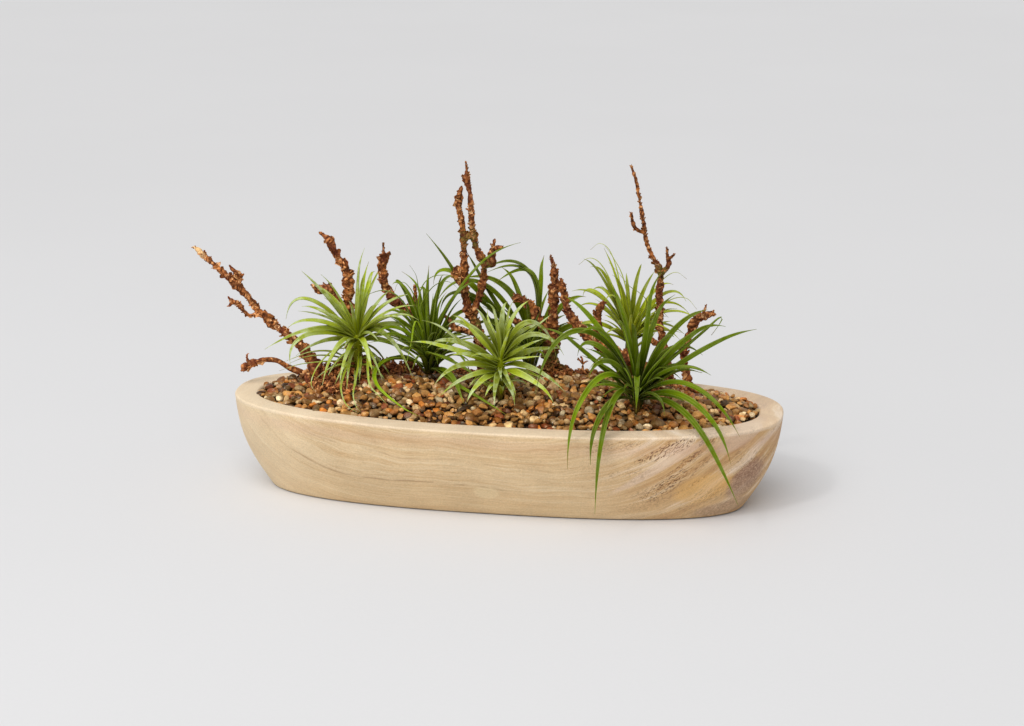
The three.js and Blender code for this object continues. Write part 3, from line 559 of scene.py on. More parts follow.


# A waxy leaf: its root's tone, partly painted shade deep in the plant, gives way to the blade's, the
# edges are lighter, fine lines run along it, some are frosted with pale scales, and a few tips have
# dried brown.
def makeLeaf(name):
    blade, root, frost = leafTones[name]
    material, b, shader, point = newMaterial(
        name.replace("plant", "leaf"),
        {"Specular IOR Level": 0.3, "Specular Tint": (1.0, 1.0, 0.22, 1), "Subsurface Weight": 0.1,
         "Subsurface Scale": 0.002, "Subsurface Radius": (0.8, 0.9, 0.1)})
    along, across, tint = b.mark("along"), b.mark("across"), b.mark("tint")
    # the root's tone is partly the leaf's own paler base and partly painted shade deep in the plant
    color = b.mix(b.between(along, 0.02, 0.42), toLinear(*root), toLinear(*blade))
    gain = b.math("MULTIPLY_ADD", tint, 0.84, 0.57)
    blueGain = b.math("MULTIPLY_ADD", tint, 0.3, 0.7)
    color = b.mix(1.0, color, b.vector(gain, gain, blueGain), "MULTIPLY")
    color = b.lay(color, b.mark("stem"), (104, 82, 36), 0.85)
    lines = b.noise(b.stretch(across, along, tint, 5.0, 2.5, 60.0), 1.0, 3.0, 0.6)
    darker = b.mix(1.0, color, (0.62, 0.7, 0.5, 1), "MULTIPLY")
    color = b.mix(b.between(lines, 0.35, 0.7, 0.0, 0.3), color, darker)
    edge = b.between(b.math("ABSOLUTE", across), 0.55, 1.0)
    paler = b.mix(0.5, color, toLinear(206, 219, 122))
    color = b.mix(b.times(edge, 0.25 + 0.5 * frost), color, paler)
    scales = b.between(b.noise(point, 0.13, 4.0, 0.65), 0.38, 0.62)
    scales = b.times(scales, b.between(along, 0.2, 0.75))
    color = b.lay(color, scales, (198, 211, 164), frost * 0.75)
    dried = b.times(b.between(along, 0.9, 0.99), b.between(tint, 0.45, 0.6))
    color = b.lay(color, dried, (128, 96, 48), 0.8)
    color = mottled(b, color, point, 18.0, 0.12, 0.8, 0.05)
    roughness = b.between(scales, 0.0, 1.0, 0.36, 0.36 + 0.2 * frost)
    finish(b, shader, color, roughness, lines, 0.25, 0.4)
    return material


# The studio's pale paper floor, all but even.
def makePaper():
    material, b, shader, point = newMaterial(
        "pale_floor", {"Roughness": 0.9, "Specular IOR Level": 0.1})
    finish(b, shader, mottled(b, toLinear(218, 218, 219), point, 900.0, 0.008, 3.0, 0.004))
    return material


woodMaterial = makeWood()
foamMaterial = makeFoam()
gapShadeMaterial = makeGapShade()
pebbleMaterial = makeStone()
barkMaterial = makeBark()
leafMaterials = {name: makeLeaf(name) for name in leafTones}
print("materials made")

# bowl
bowl = {
    "length": 500, "width": 182, "height": 85, "footLength": 435, "footWidth": 127,
    "rimThickness": 21, "rimRise": 2.5, "wallBulge": 7.5, "endSkew": 0.06,
    "rimPower": 2.4, "footPower": 2.55, "floorThickness": 16, "floorInset": 24,
    "outerEdge": 2.1, "innerEdge": 1.8,  # how round the rim's edges are
    "carving": 0.45, "carvingSize": 46, "unevenness": 0.35, "unevenSize": 60,
    "wallRings": 40, "hollowRings": 22, "around": 360,
}


# The rim's rise towards its ends: the square of the share of half the length.
def rimLift(x):
    return bowl["rimRise"] * (2 * x / bowl["length"]) ** 2


# A y inside the bowl, less the skew that widens the bowl towards +X: y / (1 + skew x).
def unskewed(x, y):
    return y / (1 + bowl["endSkew"] * x * 2 / bowl["length"])


# The outer wall's half length, half width and power at a share of its height: a straight flare from
# foot to rim that swells by half a sine.
def wallAt(share):
    swell = bowl["wallBulge"] * np.sin(np.pi * share)
    return (
        lerp(bowl["footLength"], bowl["length"], share) / 2 + swell,
        lerp(bowl["footWidth"], bowl["width"], share) / 2 + swell,
        lerp(bowl["footPower"], bowl["rimPower"], share),
    )


# The hollow's half length, half width and power at a height, parallel to the outer wall.
def hollowAt(z):
    share = (z - bowl["floorThickness"]) / (bowl["height"] - bowl["floorThickness"])
    floorLength, floorWidth, _ = wallAt(bowl["floorThickness"] / bowl["height"])
    bow = bowl["wallBulge"] * np.sin(np.pi * 0.5 * np.minimum(share, 1)) - bowl["wallBulge"] * share
    rimLength, rimWidth = (bowl[key] / 2 - bowl["rimThickness"] for key in ("length", "width"))
    return (
        lerp(floorLength - bowl["floorInset"], rimLength, share) + bow,
        lerp(floorWidth - bowl["floorInset"], rimWidth, share) + bow,
        np.full_like(share, bowl["rimPower"]),
    )


# Superellipses, one to a row, wider towards +X and lifted towards their ends:
# x = a sgn(cos) |cos|^(2/p), y = b sgn(sin) |sin|^(2/p) (1 + skew x).
def ovalRings(halfLength, halfWidth, power, heights, around):
    angle = 2 * np.pi * (np.arange(around) + 0.5) / around
    c, s = np.cos(angle), np.sin(angle)
    power = np.asarray(power)[:, None]
    x = np.asarray(halfLength)[:, None] * np.sign(c) * np.abs(c) ** (2 / power)
    y = np.asarray(halfWidth)[:, None] * np.sign(s) * np.abs(s) ** (2 / power)
    y = y * (1 + bowl["endSkew"] * x * 2 / bowl["length"])
    heights = np.asarray(heights)[:, None] * np.ones_like(x)
    z = heights + rimLift(x) * np.clip(heights / bowl["height"], 0, None)
    return np.stack([x, y, z], axis=-1)


# The outer wall from the foot up, round the rim and down the hollow, as rings of points. The foot and
# the rim's edges are quarter rounds; low noise stands for the carver's hand.
def makeBowl():
    height, ground = bowl["height"], bowl["floorThickness"]
    edge = bowl["outerEdge"]
    # shares of the height, and how far in
    outer = [(0.0, 1.5), (0.12 / height, 0.9), (0.5 / height, 0.35), (1.3 / height, 0.0)]
    outer += [(s, 0.0) for s in np.linspace(0.04, 0.965, bowl["wallRings"])]
    outer += [(1 - edge / height * (1 - math.sin(t)), edge * (1 - math.cos(t)) ** 1.1)
              for t in np.linspace(0.2, 1.5708, 9)]
    shares, insets = np.array(outer).T
    a, b, power = wallAt(shares)
    outside = ovalRings(a - insets, b - insets, power, shares * height, bowl["around"])
    # heights, and how far in from the hollow
    edge = bowl["innerEdge"]
    inner = [(height + 0.2, -12.0), (height + 0.3, -7.5), (height + 0.1, -2.6)]
    inner += [(height - edge * (1 - math.cos(t)), -edge * (1 - math.sin(t)))
              for t in np.linspace(0.2, 1.5708, 7)]
    inner += [(z, 0.0) for z in np.linspace(height - 6, ground + 6, bowl["hollowRings"])]
    inner += [(ground + 2, 1.5), (ground + 0.4, 4.5), (ground, 9.0)]
    levels, insets = np.array(inner).T
    a, b, power = hollowAt(levels)
    inside = ovalRings(a - insets, b - insets, power, levels, bowl["around"])
    # the outer wall's bottom keeps flat, so the carving fades out there
    rings = np.concatenate([outside, inside])
    outward = unit(rings * np.array([1, 1, 0]))
    depth = np.concatenate([np.ones(len(outside)), np.full(len(inside), 0.4)])
    fade = smooth(2, 14, rings[..., 2]) * depth[:, None]
    rings += outward * (bowl["carving"] * noise(rings, bowl["carvingSize"], 3, 2) * fade)[..., None]
    rings[..., 2] += bowl["unevenness"] * noise(rings, bowl["unevenSize"], 9) * fade
    made = shape()
    made.add(*closedTube(rings))
    return made.toMesh("bowl_carved")


makePiece("bowl_carved", makeBowl(), woodMaterial, "bowl_wood", "bowl")
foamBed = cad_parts["foam_bed"]
foamBed.data.materials.clear()
foamBed.data.materials.append(foamMaterial)
print("bowl made")

# gravel
gravel = {
    "edge": 81, "mound": 19, "moundBack": 8, "bottom": 62.4,
    "heapX": 80, "heapY": 35, "heapHeight": 7, "heapSpreadX": 55, "heapSpreadY": 40,
    "pebbles": 1330, "underPebbles": 1250, "underDrop": 3.2,
    # radii of the small pebbles and their spread, of the large ones, and the share of these
    "radius": 2.25, "radiusSpread": 2.4, "largeRadius": 5.0, "largeSpread": 1.2, "largeShare": 0.05,
    "settling": 60, "packing": 0.93, "push": 0.42,
    "sunk": 3.8, "wallLift": 3.6, "uneven": 1.05, "tilt": 0.42, "cuts": 8, "crease": 30,
    "baseRings": 60, "baseAround": 180,
}


# The gravel's height: a mound that falls off to the wall as a power of the way out, with a heap behind
# on the right, the bell exp(-d^2).
def gravelTop(x, y):
    x, y = np.asarray(x, float), np.asarray(y, float)
    halfLength = bowl["length"] / 2 - bowl["rimThickness"]
    halfWidth = bowl["width"] / 2 - bowl["rimThickness"]
    back, power = gravel["moundBack"], bowl["rimPower"]
    across = np.where(y > back, halfWidth - back, halfWidth + back)
    out = np.abs(x / halfLength) ** power + np.abs((y - back) / across) ** power
    mound = gravel["mound"] * np.maximum(0, 1 - out**1.25)
    aside = ((x - gravel["heapX"]) / gravel["heapSpreadX"]) ** 2
    aside += ((y - gravel["heapY"]) / gravel["heapSpreadY"]) ** 2
    return gravel["edge"] + mound + gravel["heapHeight"] * np.exp(-aside)


# plants: their leaves' data
# Each plant: its heart, the width of its leaves, and the leaves that fill it: how many, how long and
# how low the lowest leave it. Then its other leaves: the heading in degrees, the reach and rise of the
# tip, the lift of the bend, the share of the reach where the bend is, and a curl to one side.
plants = {
    "plant_left": {
        "heart": (-140, 18, 132), "leafWidth": 6, "fill": 6, "fillReach": 62, "fillLow": -5,
        "leaves": [
            [30, 4, 86, 45, 0.5], [50, 12, 72, 38, 0.5], [315, 12, 69, 39, 0.5], [172, 52, 62, 38, 0.5],
            [193, 65, 21, 66, 0.85], [150, 40, 43, 32, 0.5], [200, 64, 16, 30, 0.6],
            [206, 86, -2, 27, 0.4], [214, 70, -14, 28, 0.85], [4, 50, 45, 39, 0.45],
            [345, 62, 28, 34, 0.5], [20, 69, 2, 24, 0.4], [334, 64, -33, 26, 0.5],
            [355, 63, -20, 8, 0.45], [238, 48, -33, 14, 0.55], [262, 48, -29, 6, 0.5],
            [298, 50, -18, 14, 0.5], [168, 62, -20, 4, 0.45], [55, 35, 48, 44, 0.65],
            [158, 64, 25, 24, 0.45],
        ],
    },
    "plant_back_left": {
        "heart": (-74, 22, 107), "leafWidth": 5.4, "fill": 8, "fillReach": 60, "fillLow": 25,
        "leaves": [
            [190, 12, 92, 58, 0.5], [290, 6, 98, 48, 0.4], [206, 33, 81, 92, 0.55],
            [170, 31, 80, 90, 0.9], [20, 22, 86, 72, 0.3], [352, 46, 86, 72, 0.3],
            [10, 81, 125, 68, 0.15], [212, 42, 52, 54, 0.4], [210, 54, 28, 40, 0.4],
            [170, 48, 37, 36, 0.4], [20, 49, 45, 60, 0.4], [335, 46, 6, 40, 0.4],
            [330, 18, 93, 78, 0.6], [305, 95, -6, 16, 0.5, -8], [248, 60, -6, 30, 0.55, 62],
            [125, 18, 75, 72, 0.4],
        ],
    },
    "plant_behind": {
        "heart": (16, 51, 108), "leafWidth": 7, "fill": 5, "fillReach": 60, "fillLow": 25,
        "leaves": [
            [190, 46, 91, 105, -0.5], [194, 48, 88, 100, -0.6], [175, 38, 70, 102, -0.7],
            [188, 92, 61, 112, 0.4], [190, 57, 104, 74, 0.8], [194, 70, 69, 82, 0.1],
            [185, 87, 121, 50, 0.75], [10, 8, 92, 80, 2], [8, 52, 53, 58, 0.5], [5, 71, 6, 43, 0.65],
            [186, 89, 47, 98, 0.7], [180, 93, 72, 116, 0.85], [206, 49, 14, 32, 0.4],
            [178, 57, 28, 54, 0.5], [20, 22, 61, 57, 1], [170, 30, 87, 72, 0.25],
        ],
    },
    "plant_front": {
        "heart": (0, -28, 118), "leafWidth": 6.6, "fill": 6, "fillReach": 58, "fillLow": -2,
        "leaves": [
            [193, 39, 60, 45, 0.75], [175, 20, 61, 51, 0.75], [75, 9, 67, 56, 0.42],
            [35, 28, 67, 55, 0.3], [232, 11, 71, 59, 0.7], [20, 56, 11, 82, 0.45],
            [355, 59, 24, 60, 0.5], [345, 62, -7, 20, 0.45], [334, 60, -14, 12, 0.45],
            [180, 66, 28, 38, 0.6], [195, 79, 38, 28, 0.55], [206, 65, 61, 32, 0.6],
            [212, 64, 0, 24, 0.65], [240, 50, -12, 8, 0.55], [270, 44, -12, 8, 0.5],
            [296, 46, -11, 6, 0.5], [160, 56, 41, 54, 0.55], [40, 50, 40, 46, 0.4],
            [28, 56, 20, 24, 0.45], [222, 62, -8, 12, 0.5],
        ],
    },
    "plant_back_right": {
        "heart": (108, 48, 128), "leafWidth": 5.6, "fill": 6, "fillReach": 56, "fillLow": 15,
        "leaves": [
            [190, 25, 92, 62, 0.4], [196, 44, 84, 77, 0.6], [172, 36, 76, 69, 0.55],
            [238, 26, 72, 60, 0.3], [30, 24, 68, 53, 0.35], [28, 42, 58, 57, 0.4],
            [5, 52, 45, 70, 0.55], [20, 58, 30, 56, 0.35], [358, 64, 25, 42, 0.35],
            [202, 56, 56, 60, 0.45], [176, 47, 46, 66, 0.7], [165, 55, 30, 48, 0.5],
            [75, 26, 74, 62, 0.4], [30, 58, 4, 32, 0.4], [350, 46, -4, 22, 0.4], [182, 58, 8, 36, 0.65],
            [150, 46, 48, 58, 0.4], [45, 44, 20, 50, 0.4], [130, 12, 66, 56, 0.3],
            [222, 30, 50, 58, 0.3],
        ],
    },
    "plant_right": {
        "heart": (122, -34, 104), "leafWidth": 6.8, "fill": 6, "fillReach": 58, "fillLow": 8,
        "leaves": [
            [190, 80, 73, 40, 0.55], [204, 98, 16, 122, 0.55], [178, 65, 92, 72, 0.5],
            [208, 54, 66, 82, 0.55], [180, 27, 107, 74, 0.3], [12, 12, 114, 72, 0.8],
            [14, 60, 80, 74, 0.45], [0, 72, 77, 60, 0.5], [358, 101, 72, 50, 0.5],
            [336, 102, -15, 48, 0.5], [329, 103, -36, 38, 0.6], [325, 113, -70, 26, 0.55],
            [250, 92, -76, 50, 0.58], [231, 97, -39, 72, 0.55], [245, 84, -36, 30, 0.8],
            [275, 34, -1, 48, 0.5], [225, 26, 77, 76, 0.55], [262, 26, 76, 70, 0.5],
            [325, 42, 66, 68, 0.55], [214, 52, 30, 56, 0.5], [345, 67, 32, 44, 0.45],
            [52, 37, 92, 58, 0.3], [165, 60, 36, 66, 0.65], [28, 62, 36, 62, 0.4],
        ],
    },
}

# twigs: their routes
# Each twig: its foot in the gravel, its route as rows of x, y, z and radius, and its side shoots.
twigs = {
    "twig_left": {
        "foot": (-178, 25), "peg": 4.5, "seed": 11,
        "path": [
            [-187, 36, 102, 8], [-197, 38, 115, 6.5], [-211, 39, 127, 4.2], [-219, 40, 133, 4.4],
            [-226, 41, 138, 6.2], [-233, 42, 144, 4], [-240, 43, 149, 3.5], [-251, 45, 163, 3.4],
            [-264, 47, 174, 4.6], [-281, 48, 189, 3], [-291, 50, 197, 3.4], [-303, 52, 206, 1.6],
        ],
        "shoots": [
            [[-259, 46, 171, 3], [-258, 49, 180, 4], [-263, 49, 184, 2.2], [-268, 50, 189, 1.3]],
            [[-237, 43, 146, 2.6], [-249, 40, 145, 2.2], [-257, 38, 155, 2.8], [-263, 36, 159, 2],
             [-266, 34, 164, 1.2]],
            [[-260, 37, 157, 1.8], [-263, 36, 157, 1.6], [-266, 34, 154, 1.1]],
        ],
    },
    "twig_left_low": {
        "foot": (-184, 8), "peg": 3, "seed": 23,
        "path": [
            [-187, 15, 97, 4.2], [-197, 18, 99, 4], [-207, 18, 103, 3.2], [-216, 16, 109, 3],
            [-227, 14, 110, 3], [-237, 12, 107, 3.6], [-243, 10, 105, 2.8],
        ],
        "shoots": [
            [[-241, 11, 106, 2], [-243, 11, 110, 1.5], [-243, 12, 116, 1.2]],
        ],
    },
    "twig_back_left": {
        "foot": (-154, 34), "peg": 3.3, "seed": 37,
        "path": [
            [-154, 46, 102, 5], [-153, 46, 123, 4.8], [-154, 46, 156, 4.6], [-154, 47, 172, 4.8],
            [-155, 48, 186, 5.2], [-160, 49, 196, 4.8], [-166, 50, 204, 4.4], [-172, 51, 216, 3.6],
            [-176, 51, 220, 1.8], [-182, 52, 224, 1.2],
        ],
        "shoots": [
            [[-154, 46, 147, 3], [-163, 44, 159, 3.6], [-173, 41, 173, 5], [-181, 38, 171, 3],
             [-186, 36, 178, 1.3]],
        ],
    },
    "twig_bent": {
        "foot": (-74, 45), "peg": 3.5, "seed": 41,
        "path": [
            [-75, 51, 105, 5], [-79, 51, 120, 5], [-84, 51, 138, 5.2], [-92, 49, 149, 5.4],
            [-101, 48, 155, 5.6], [-111, 46, 164, 6], [-118, 45, 175, 5], [-121, 43, 189, 4.4],
            [-119, 42, 203, 5.4], [-119, 41, 209, 2], [-119, 40, 219, 1.2],
        ],
        "shoots": [
            [[-92, 49, 149, 2.4], [-91, 48, 163, 2.2], [-92, 49, 178, 1.3]],
        ],
    },
    "twig_centre": {
        "foot": (-27, 26), "peg": 3.8, "seed": 53,
        "path": [
            [-27, 26, 106, 5], [-28, 28, 137, 5.4], [-34, 30, 153, 5.2], [-41, 30, 170, 4.6],
            [-42, 30, 193, 3.8], [-42, 30, 213, 3.6], [-43, 30, 231, 3.2], [-45, 30, 247, 2.8],
            [-47, 30, 262, 4], [-44, 30, 276, 1.8],
        ],
        "shoots": [
            [[-34, 30, 153, 4], [-31, 31, 169, 3.2], [-26, 33, 186, 3.2], [-25, 33, 203, 3.6],
             [-31, 32, 219, 3.8], [-35, 31, 236, 3.4], [-36, 32, 252, 3], [-37, 33, 268, 2.1],
             [-40, 34, 283, 3.4], [-40, 34, 290, 1.7], [-41, 34, 298, 1.1]],
            [[-42, 30, 178, 3.2], [-48, 28, 193, 4.2], [-50, 26, 202, 3.4]],
            [[-26, 33, 203, 3], [-19, 35, 205, 4], [-17, 36, 217, 3], [-15, 37, 227, 1.6]],
            [[-18, 36, 216, 2], [-12, 35, 219, 1.9], [-7, 34, 220, 1.5]],
            [[-42, 30, 226, 3.4], [-39, 30, 229, 3.8], [-34, 31, 232, 3.4]],
        ],
    },
    "twig_stump": {
        "foot": (37, 40), "peg": 5, "seed": 67,
        "path": [
            [37, 40, 107, 9.5], [36, 42, 122, 9], [37, 42, 138, 7.5], [38, 42, 152, 6],
            [38, 42, 163, 5], [38, 42, 175, 5], [39, 42, 189, 4.2], [38, 41, 201, 3.4],
            [35, 40, 212, 1.5],
        ],
        "shoots": [
            [[35, 42, 128, 5], [29, 42, 144, 5], [22, 42, 155, 4.6], [14, 42, 166, 4.6],
             [4, 43, 171, 4], [0, 44, 168, 2]],
        ],
    },
    "twig_lying": {
        "foot": (134, 12), "peg": 3.9, "seed": 79,
        "path": [
            [134, 13, 103, 5], [129, 14, 112, 5], [120, 16, 121, 5], [102, 18, 129, 5.4],
            [87, 20, 134, 6], [76, 22, 141, 6], [67, 24, 148, 5.6], [59, 26, 155, 5],
            [53, 28, 164, 4.6], [50, 30, 174, 4.2], [48, 31, 184, 3.6], [46, 32, 194, 1.8],
        ],
        "shoots": [
            [[85, 20, 135, 3.4], [81, 21, 150, 4], [81, 23, 166, 4.2], [86, 24, 176, 2.4]],
        ],
    },
    "twig_right": {
        "foot": (147, 36), "peg": 3.3, "seed": 83,
        "path": [
            [147, 36, 100, 4.4], [144, 37, 117, 4.4], [141, 38, 128, 4.8], [136, 38, 148, 4],
            [135, 39, 165, 3.8], [134, 40, 182, 3.5], [135, 41, 199, 3.6], [127, 42, 215, 2.6],
            [121, 43, 229, 2.5], [119, 44, 242, 2.4], [115, 44, 263, 1.9], [111, 45, 282, 1.6],
            [106, 46, 296, 1.2],
        ],
        "shoots": [
            [[120, 43, 235, 2.2], [113, 44, 238, 1.8], [109, 44, 243, 1.8], [107, 44, 254, 1.2]],
            [[134, 41, 197, 2.8], [142, 40, 207, 2.3], [141, 39, 216, 2], [140, 38, 225, 1.2]],
            [[141, 39, 213, 1.6], [144, 38, 215, 1.5], [148, 37, 219, 1.3]],
        ],
    },
    "twig_far_right": {
        "foot": (165, 34), "peg": 3.2, "seed": 97,
        "path": [
            [163, 39, 98, 4.2], [159, 45, 110, 4.2], [157, 45, 126, 4.2], [162, 44, 142, 4.4],
            [168, 42, 156, 5], [176, 41, 162, 3.8], [184, 40, 165, 2.6],
        ],
        "shoots": [
            [[173, 41, 160, 2], [175, 41, 166, 1.6], [177, 42, 172, 1]],
        ],
    },
}

# where stems and pegs go into the gravel: x, y and radius
feet = np.array(
    [[*plant["heart"][:2], 2.4] for plant in plants.values()]
    + [[*twig["foot"], twig["peg"]] for twig in twigs.values()]
)


# gravel: base and pebbles
# Below 1 inside the hollow's rim oval drawn in by a margin: |x/a|^p + |y/b|^p.
def insideHollow(x, y, margin):
    a = bowl["length"] / 2 - bowl["rimThickness"] - margin
    b = bowl["width"] / 2 - bowl["rimThickness"] - margin
    return np.abs(x / a) ** bowl["rimPower"] + np.abs(unskewed(x, y) / b) ** bowl["rimPower"]


# The bed that shows as painted shade between the pebbles: ovals that shrink to the middle, at the
# gravel's height less the pebbles' depth, over a plug of the hollow.
def makeGravelBase():
    rings, around = gravel["baseRings"], gravel["baseAround"]
    level = gravel["edge"] - gravel["sunk"]
    lower = np.linspace(gravel["bottom"], level - 1, 6)
    a, b, power = hollowAt(lower)
    side = ovalRings(a - 0.4, b - 0.4, power, lower, around)
    shares = np.linspace(1, 0.03, rings)
    a, b, power = hollowAt(np.full(rings, level))
    top = ovalRings((a - 0.4) * shares, (b - 0.4) * shares, power, np.zeros(rings), around)
    ripple = 1.2 * noise(top, 5, 21, 2)
    top[..., 2] = gravelTop(top[..., 0], top[..., 1]) - gravel["sunk"] - 0.8 + ripple
    made = shape()
    made.add(*closedTube(np.concatenate([side, top])))
    return made.toMesh("gravel_bed")


# How far circles move to clear others: each by its overlap, away from the other's middle.
def pushed(at, others, reach, diagonal=False):
    apart = at[:, None] - others[None]
    gap = np.sqrt((apart**2).sum(axis=-1)) + 1e-6
    overlap = np.clip(reach - gap, 0, None)
    if diagonal:  # a circle isn't pushed by itself
        np.fill_diagonal(overlap, 0)
    return (apart / gap[..., None] * overlap[..., None]).sum(axis=1)


# Circles of mixed sizes, spread over the oval and pushed apart over many rounds: each pair that
# overlaps moves apart by its overlap, and the wall and the feet push back.
def settlePebbles(count, seed, fixed):
    generator = np.random.default_rng(seed)
    radius = gravel["radius"] + gravel["radiusSpread"] * generator.random(count) ** 1.8
    large = generator.random(count) < gravel["largeShare"]
    largeRadius = gravel["largeRadius"] + gravel["largeSpread"] * generator.random(count)
    radius = np.where(large, largeRadius, radius)
    halfLength = bowl["length"] / 2 - bowl["rimThickness"] - 2
    halfWidth = bowl["width"] / 2 - bowl["rimThickness"] - 2
    # two irrational steps spread the circles evenly over the oval's box; those outside are left out
    order = np.arange(2 * count)[:, None] + 100 * seed
    share = (order * np.array([0.7548776662, 0.5698402910])) % 1
    at = (2 * share - 1) * [halfLength, halfWidth]
    at = at[insideHollow(at[:, 0], at[:, 1], 2) < 1][:count]
    at = at + 1.5 * generator.standard_normal((count, 2))
    pairReach = gravel["packing"] * (radius[:, None] + radius[None])
    footReach = 0.85 * radius[:, None] + feet[None, :, 2] + 0.5
    for _ in range(gravel["settling"]):
        at = at + gravel["push"] * pushed(at, at, pairReach, True)
        if fixed:
            at = at + pushed(at, feet[:, :2], footReach)
        out = insideHollow(at[:, 0], at[:, 1], 0.6 * radius) ** (1 / bowl["rimPower"])
        at = at / np.maximum(1, out)[:, None]
    return at, radius, generator


# A unit ball's points and triangles: an icosahedron whose faces are cut in four, each edge at its
# middle, pushed out to the ball.
def ballGrid(cuts):
    g = (1 + 5**0.5) / 2
    points = unit(np.array([
        (-1, g, 0), (1, g, 0), (-1, -g, 0), (1, -g, 0), (0, -1, g), (0, 1, g), (0, -1, -g), (0, 1, -g),
        (g, 0, -1), (g, 0, 1), (-g, 0, -1), (-g, 0, 1)]))
    faces = np.array([
        (0, 11, 5), (0, 5, 1), (0, 1, 7), (0, 7, 10), (0, 10, 11), (1, 5, 9), (5, 11, 4), (11, 10, 2),
        (10, 7, 6), (7, 1, 8), (3, 9, 4), (3, 4, 2), (3, 2, 6), (3, 6, 8), (3, 8, 9), (4, 9, 5),
        (2, 4, 11), (6, 2, 10), (8, 6, 7), (9, 8, 1)])
    for _ in range(cuts):
        edges = np.sort(np.stack([faces, np.roll(faces, -1, axis=1)], axis=-1).reshape(-1, 2), axis=1)
        edges, first, which = np.unique(edges, axis=0, return_index=True, return_inverse=True)
        order = np.argsort(first)
        middles = len(points) + np.argsort(order)[which.reshape(-1, 3)]
        (a, b, c), (ab, bc, ca) = faces.T, middles.T
        faces = np.stack([a, ab, ca, b, bc, ab, c, ca, bc, ab, bc, ca], axis=-1).reshape(-1, 3)
        points = np.concatenate([points, unit(points[edges[order]].sum(axis=1))])
    return points, faces


# Copies of a small solid, one to a row of points: its faces, numbered on from copy to copy.
def copiedFaces(faces, size, count):
    return (faces[None] + size * np.arange(count)[:, None, None]).reshape(-1, faces.shape[1])


# Random turns, count x 3 x 3: a full spin about the upright, then small leans about x and y.
def turnsOf(generator, count, tilt):
    spin = 2 * np.pi * generator.random(count)
    lean, roll = (tilt * generator.standard_normal(count) for _ in range(2))
    zero, one = np.zeros(count), np.ones(count)

    def stacked(*rows):
        return np.array(rows).transpose(2, 0, 1)

    c, s = np.cos(spin), np.sin(spin)
    aboutZ = stacked([c, -s, zero], [s, c, zero], [zero, zero, one])
    c, s = np.cos(lean), np.sin(lean)
    aboutX = stacked([one, zero, zero], [zero, c, -s], [zero, s, c])
    c, s = np.cos(roll), np.sin(roll)
    aboutY = stacked([c, zero, s], [zero, one, zero], [-s, zero, c])
    return aboutZ @ aboutX @ aboutY


# Each pebble is a ball flattened to three unlike radii, with a few sides worn flat: each side is a
# plane that the ball's points are pushed back to. Noise dents it, and it is turned and set down.
def makePebbles(name, count, seed, drop, fixed):
    at, radius, generator = settlePebbles(count, seed, fixed)
    ball, faces = ballGrid(1)
    stretch = np.stack([low + spread * generator.random(count) for low, spread in
                        ((1.02, 0.34), (0.86, 0.2), (0.62, 0.26))], axis=-1)
    sides = unit(generator.standard_normal((count, gravel["cuts"], 3)))
    depth = 0.46 + 0.36 * generator.random((count, gravel["cuts"]))
    worn = np.broadcast_to(ball, (count, *ball.shape)).copy()
    for k in range(gravel["cuts"]):
        past = np.clip(np.einsum("nij,nj->ni", worn, sides[:, k]) - depth[:, k, None], 0, None)
        worn -= 0.95 * past[..., None] * sides[:, None, k]
    spread = ball[None] + 9.1 * np.arange(count)[:, None, None]  # a patch of noise for each pebble
    rough = 1.18 + 0.12 * noise(spread, 0.95, seed, 2)
    dented = worn * stretch[:, None] * rough[..., None] * radius[:, None, None]
    dented = np.einsum("nij,nkj->nki", turnsOf(generator, count, gravel["tilt"]), dented)
    nearWall = smooth(0.55, 1.0, insideHollow(at[:, 0], at[:, 1], 4))
    height = gravelTop(at[:, 0], at[:, 1]) - 0.55 * radius - drop + gravel["wallLift"] * nearWall
    height += gravel["uneven"] * generator.standard_normal(count).clip(-1.6, 1.6) + rimLift(at[:, 0])
    # how low each point sits on its pebble, for the painted shade underneath; the lower layer is marked
    # lower still, so it is painted darker
    low = dented[..., 2] / radius[:, None] - 0.35 * (drop > 0)
    dented += np.stack([at[:, 0], at[:, 1], height], axis=-1)[:, None]
    tint, shade = (np.repeat(generator.random(count), len(ball)) for _ in range(2))
    made = shape()
    made.add(dented, copiedFaces(faces, len(ball), count), tint=tint, shade=shade, low=low)
    return made.toMesh(name, crease=gravel["crease"])


makePiece("gravel_bed", makeGravelBase(), gapShadeMaterial, "gravel", "gravel")
for name, count, seed, drop, fixed in (
    ("pebbles_upper", gravel["pebbles"], 5, 0.0, True),
    ("pebbles_lower", gravel["underPebbles"], 6, gravel["underDrop"], False),
):
    makePiece(name, makePebbles(name, count, seed, drop, fixed), pebbleMaterial, "gravel")
print("gravel made")


# curves
# A smooth curve through a route's points, in 200 equal steps of its parameter, and the length along
# it: between two points it is the cubic that runs, at each, parallel to the line between the
# neighbours.
def routeOf(path):
    points = np.array(path, float)[:, :3]
    ends = np.vstack([2 * points[0] - points[1], points, 2 * points[-1] - points[-2]])
    t = np.linspace(0, 1, 201) * (len(points) - 1)
    i = np.minimum(t.astype(int), len(points) - 2)
    k = (t - i)[:, None]
    p0, p1, p2, p3 = (ends[i + n] for n in range(4))
    m1, m2 = (p2 - p0) / 2, (p3 - p1) / 2
    curve = (2 * k**3 - 3 * k**2 + 1) * p1 + (k**3 - 2 * k**2 + k) * m1
    curve = curve + (3 * k**2 - 2 * k**3) * p2 + (k**3 - k**2) * m2
    along = np.concatenate([[0], np.cumsum(np.linalg.norm(np.diff(curve, axis=0), axis=1))])
    return curve, along, t


# The whole length of a route.
def lengthOf(path):
    return routeOf(path)[1][-1]


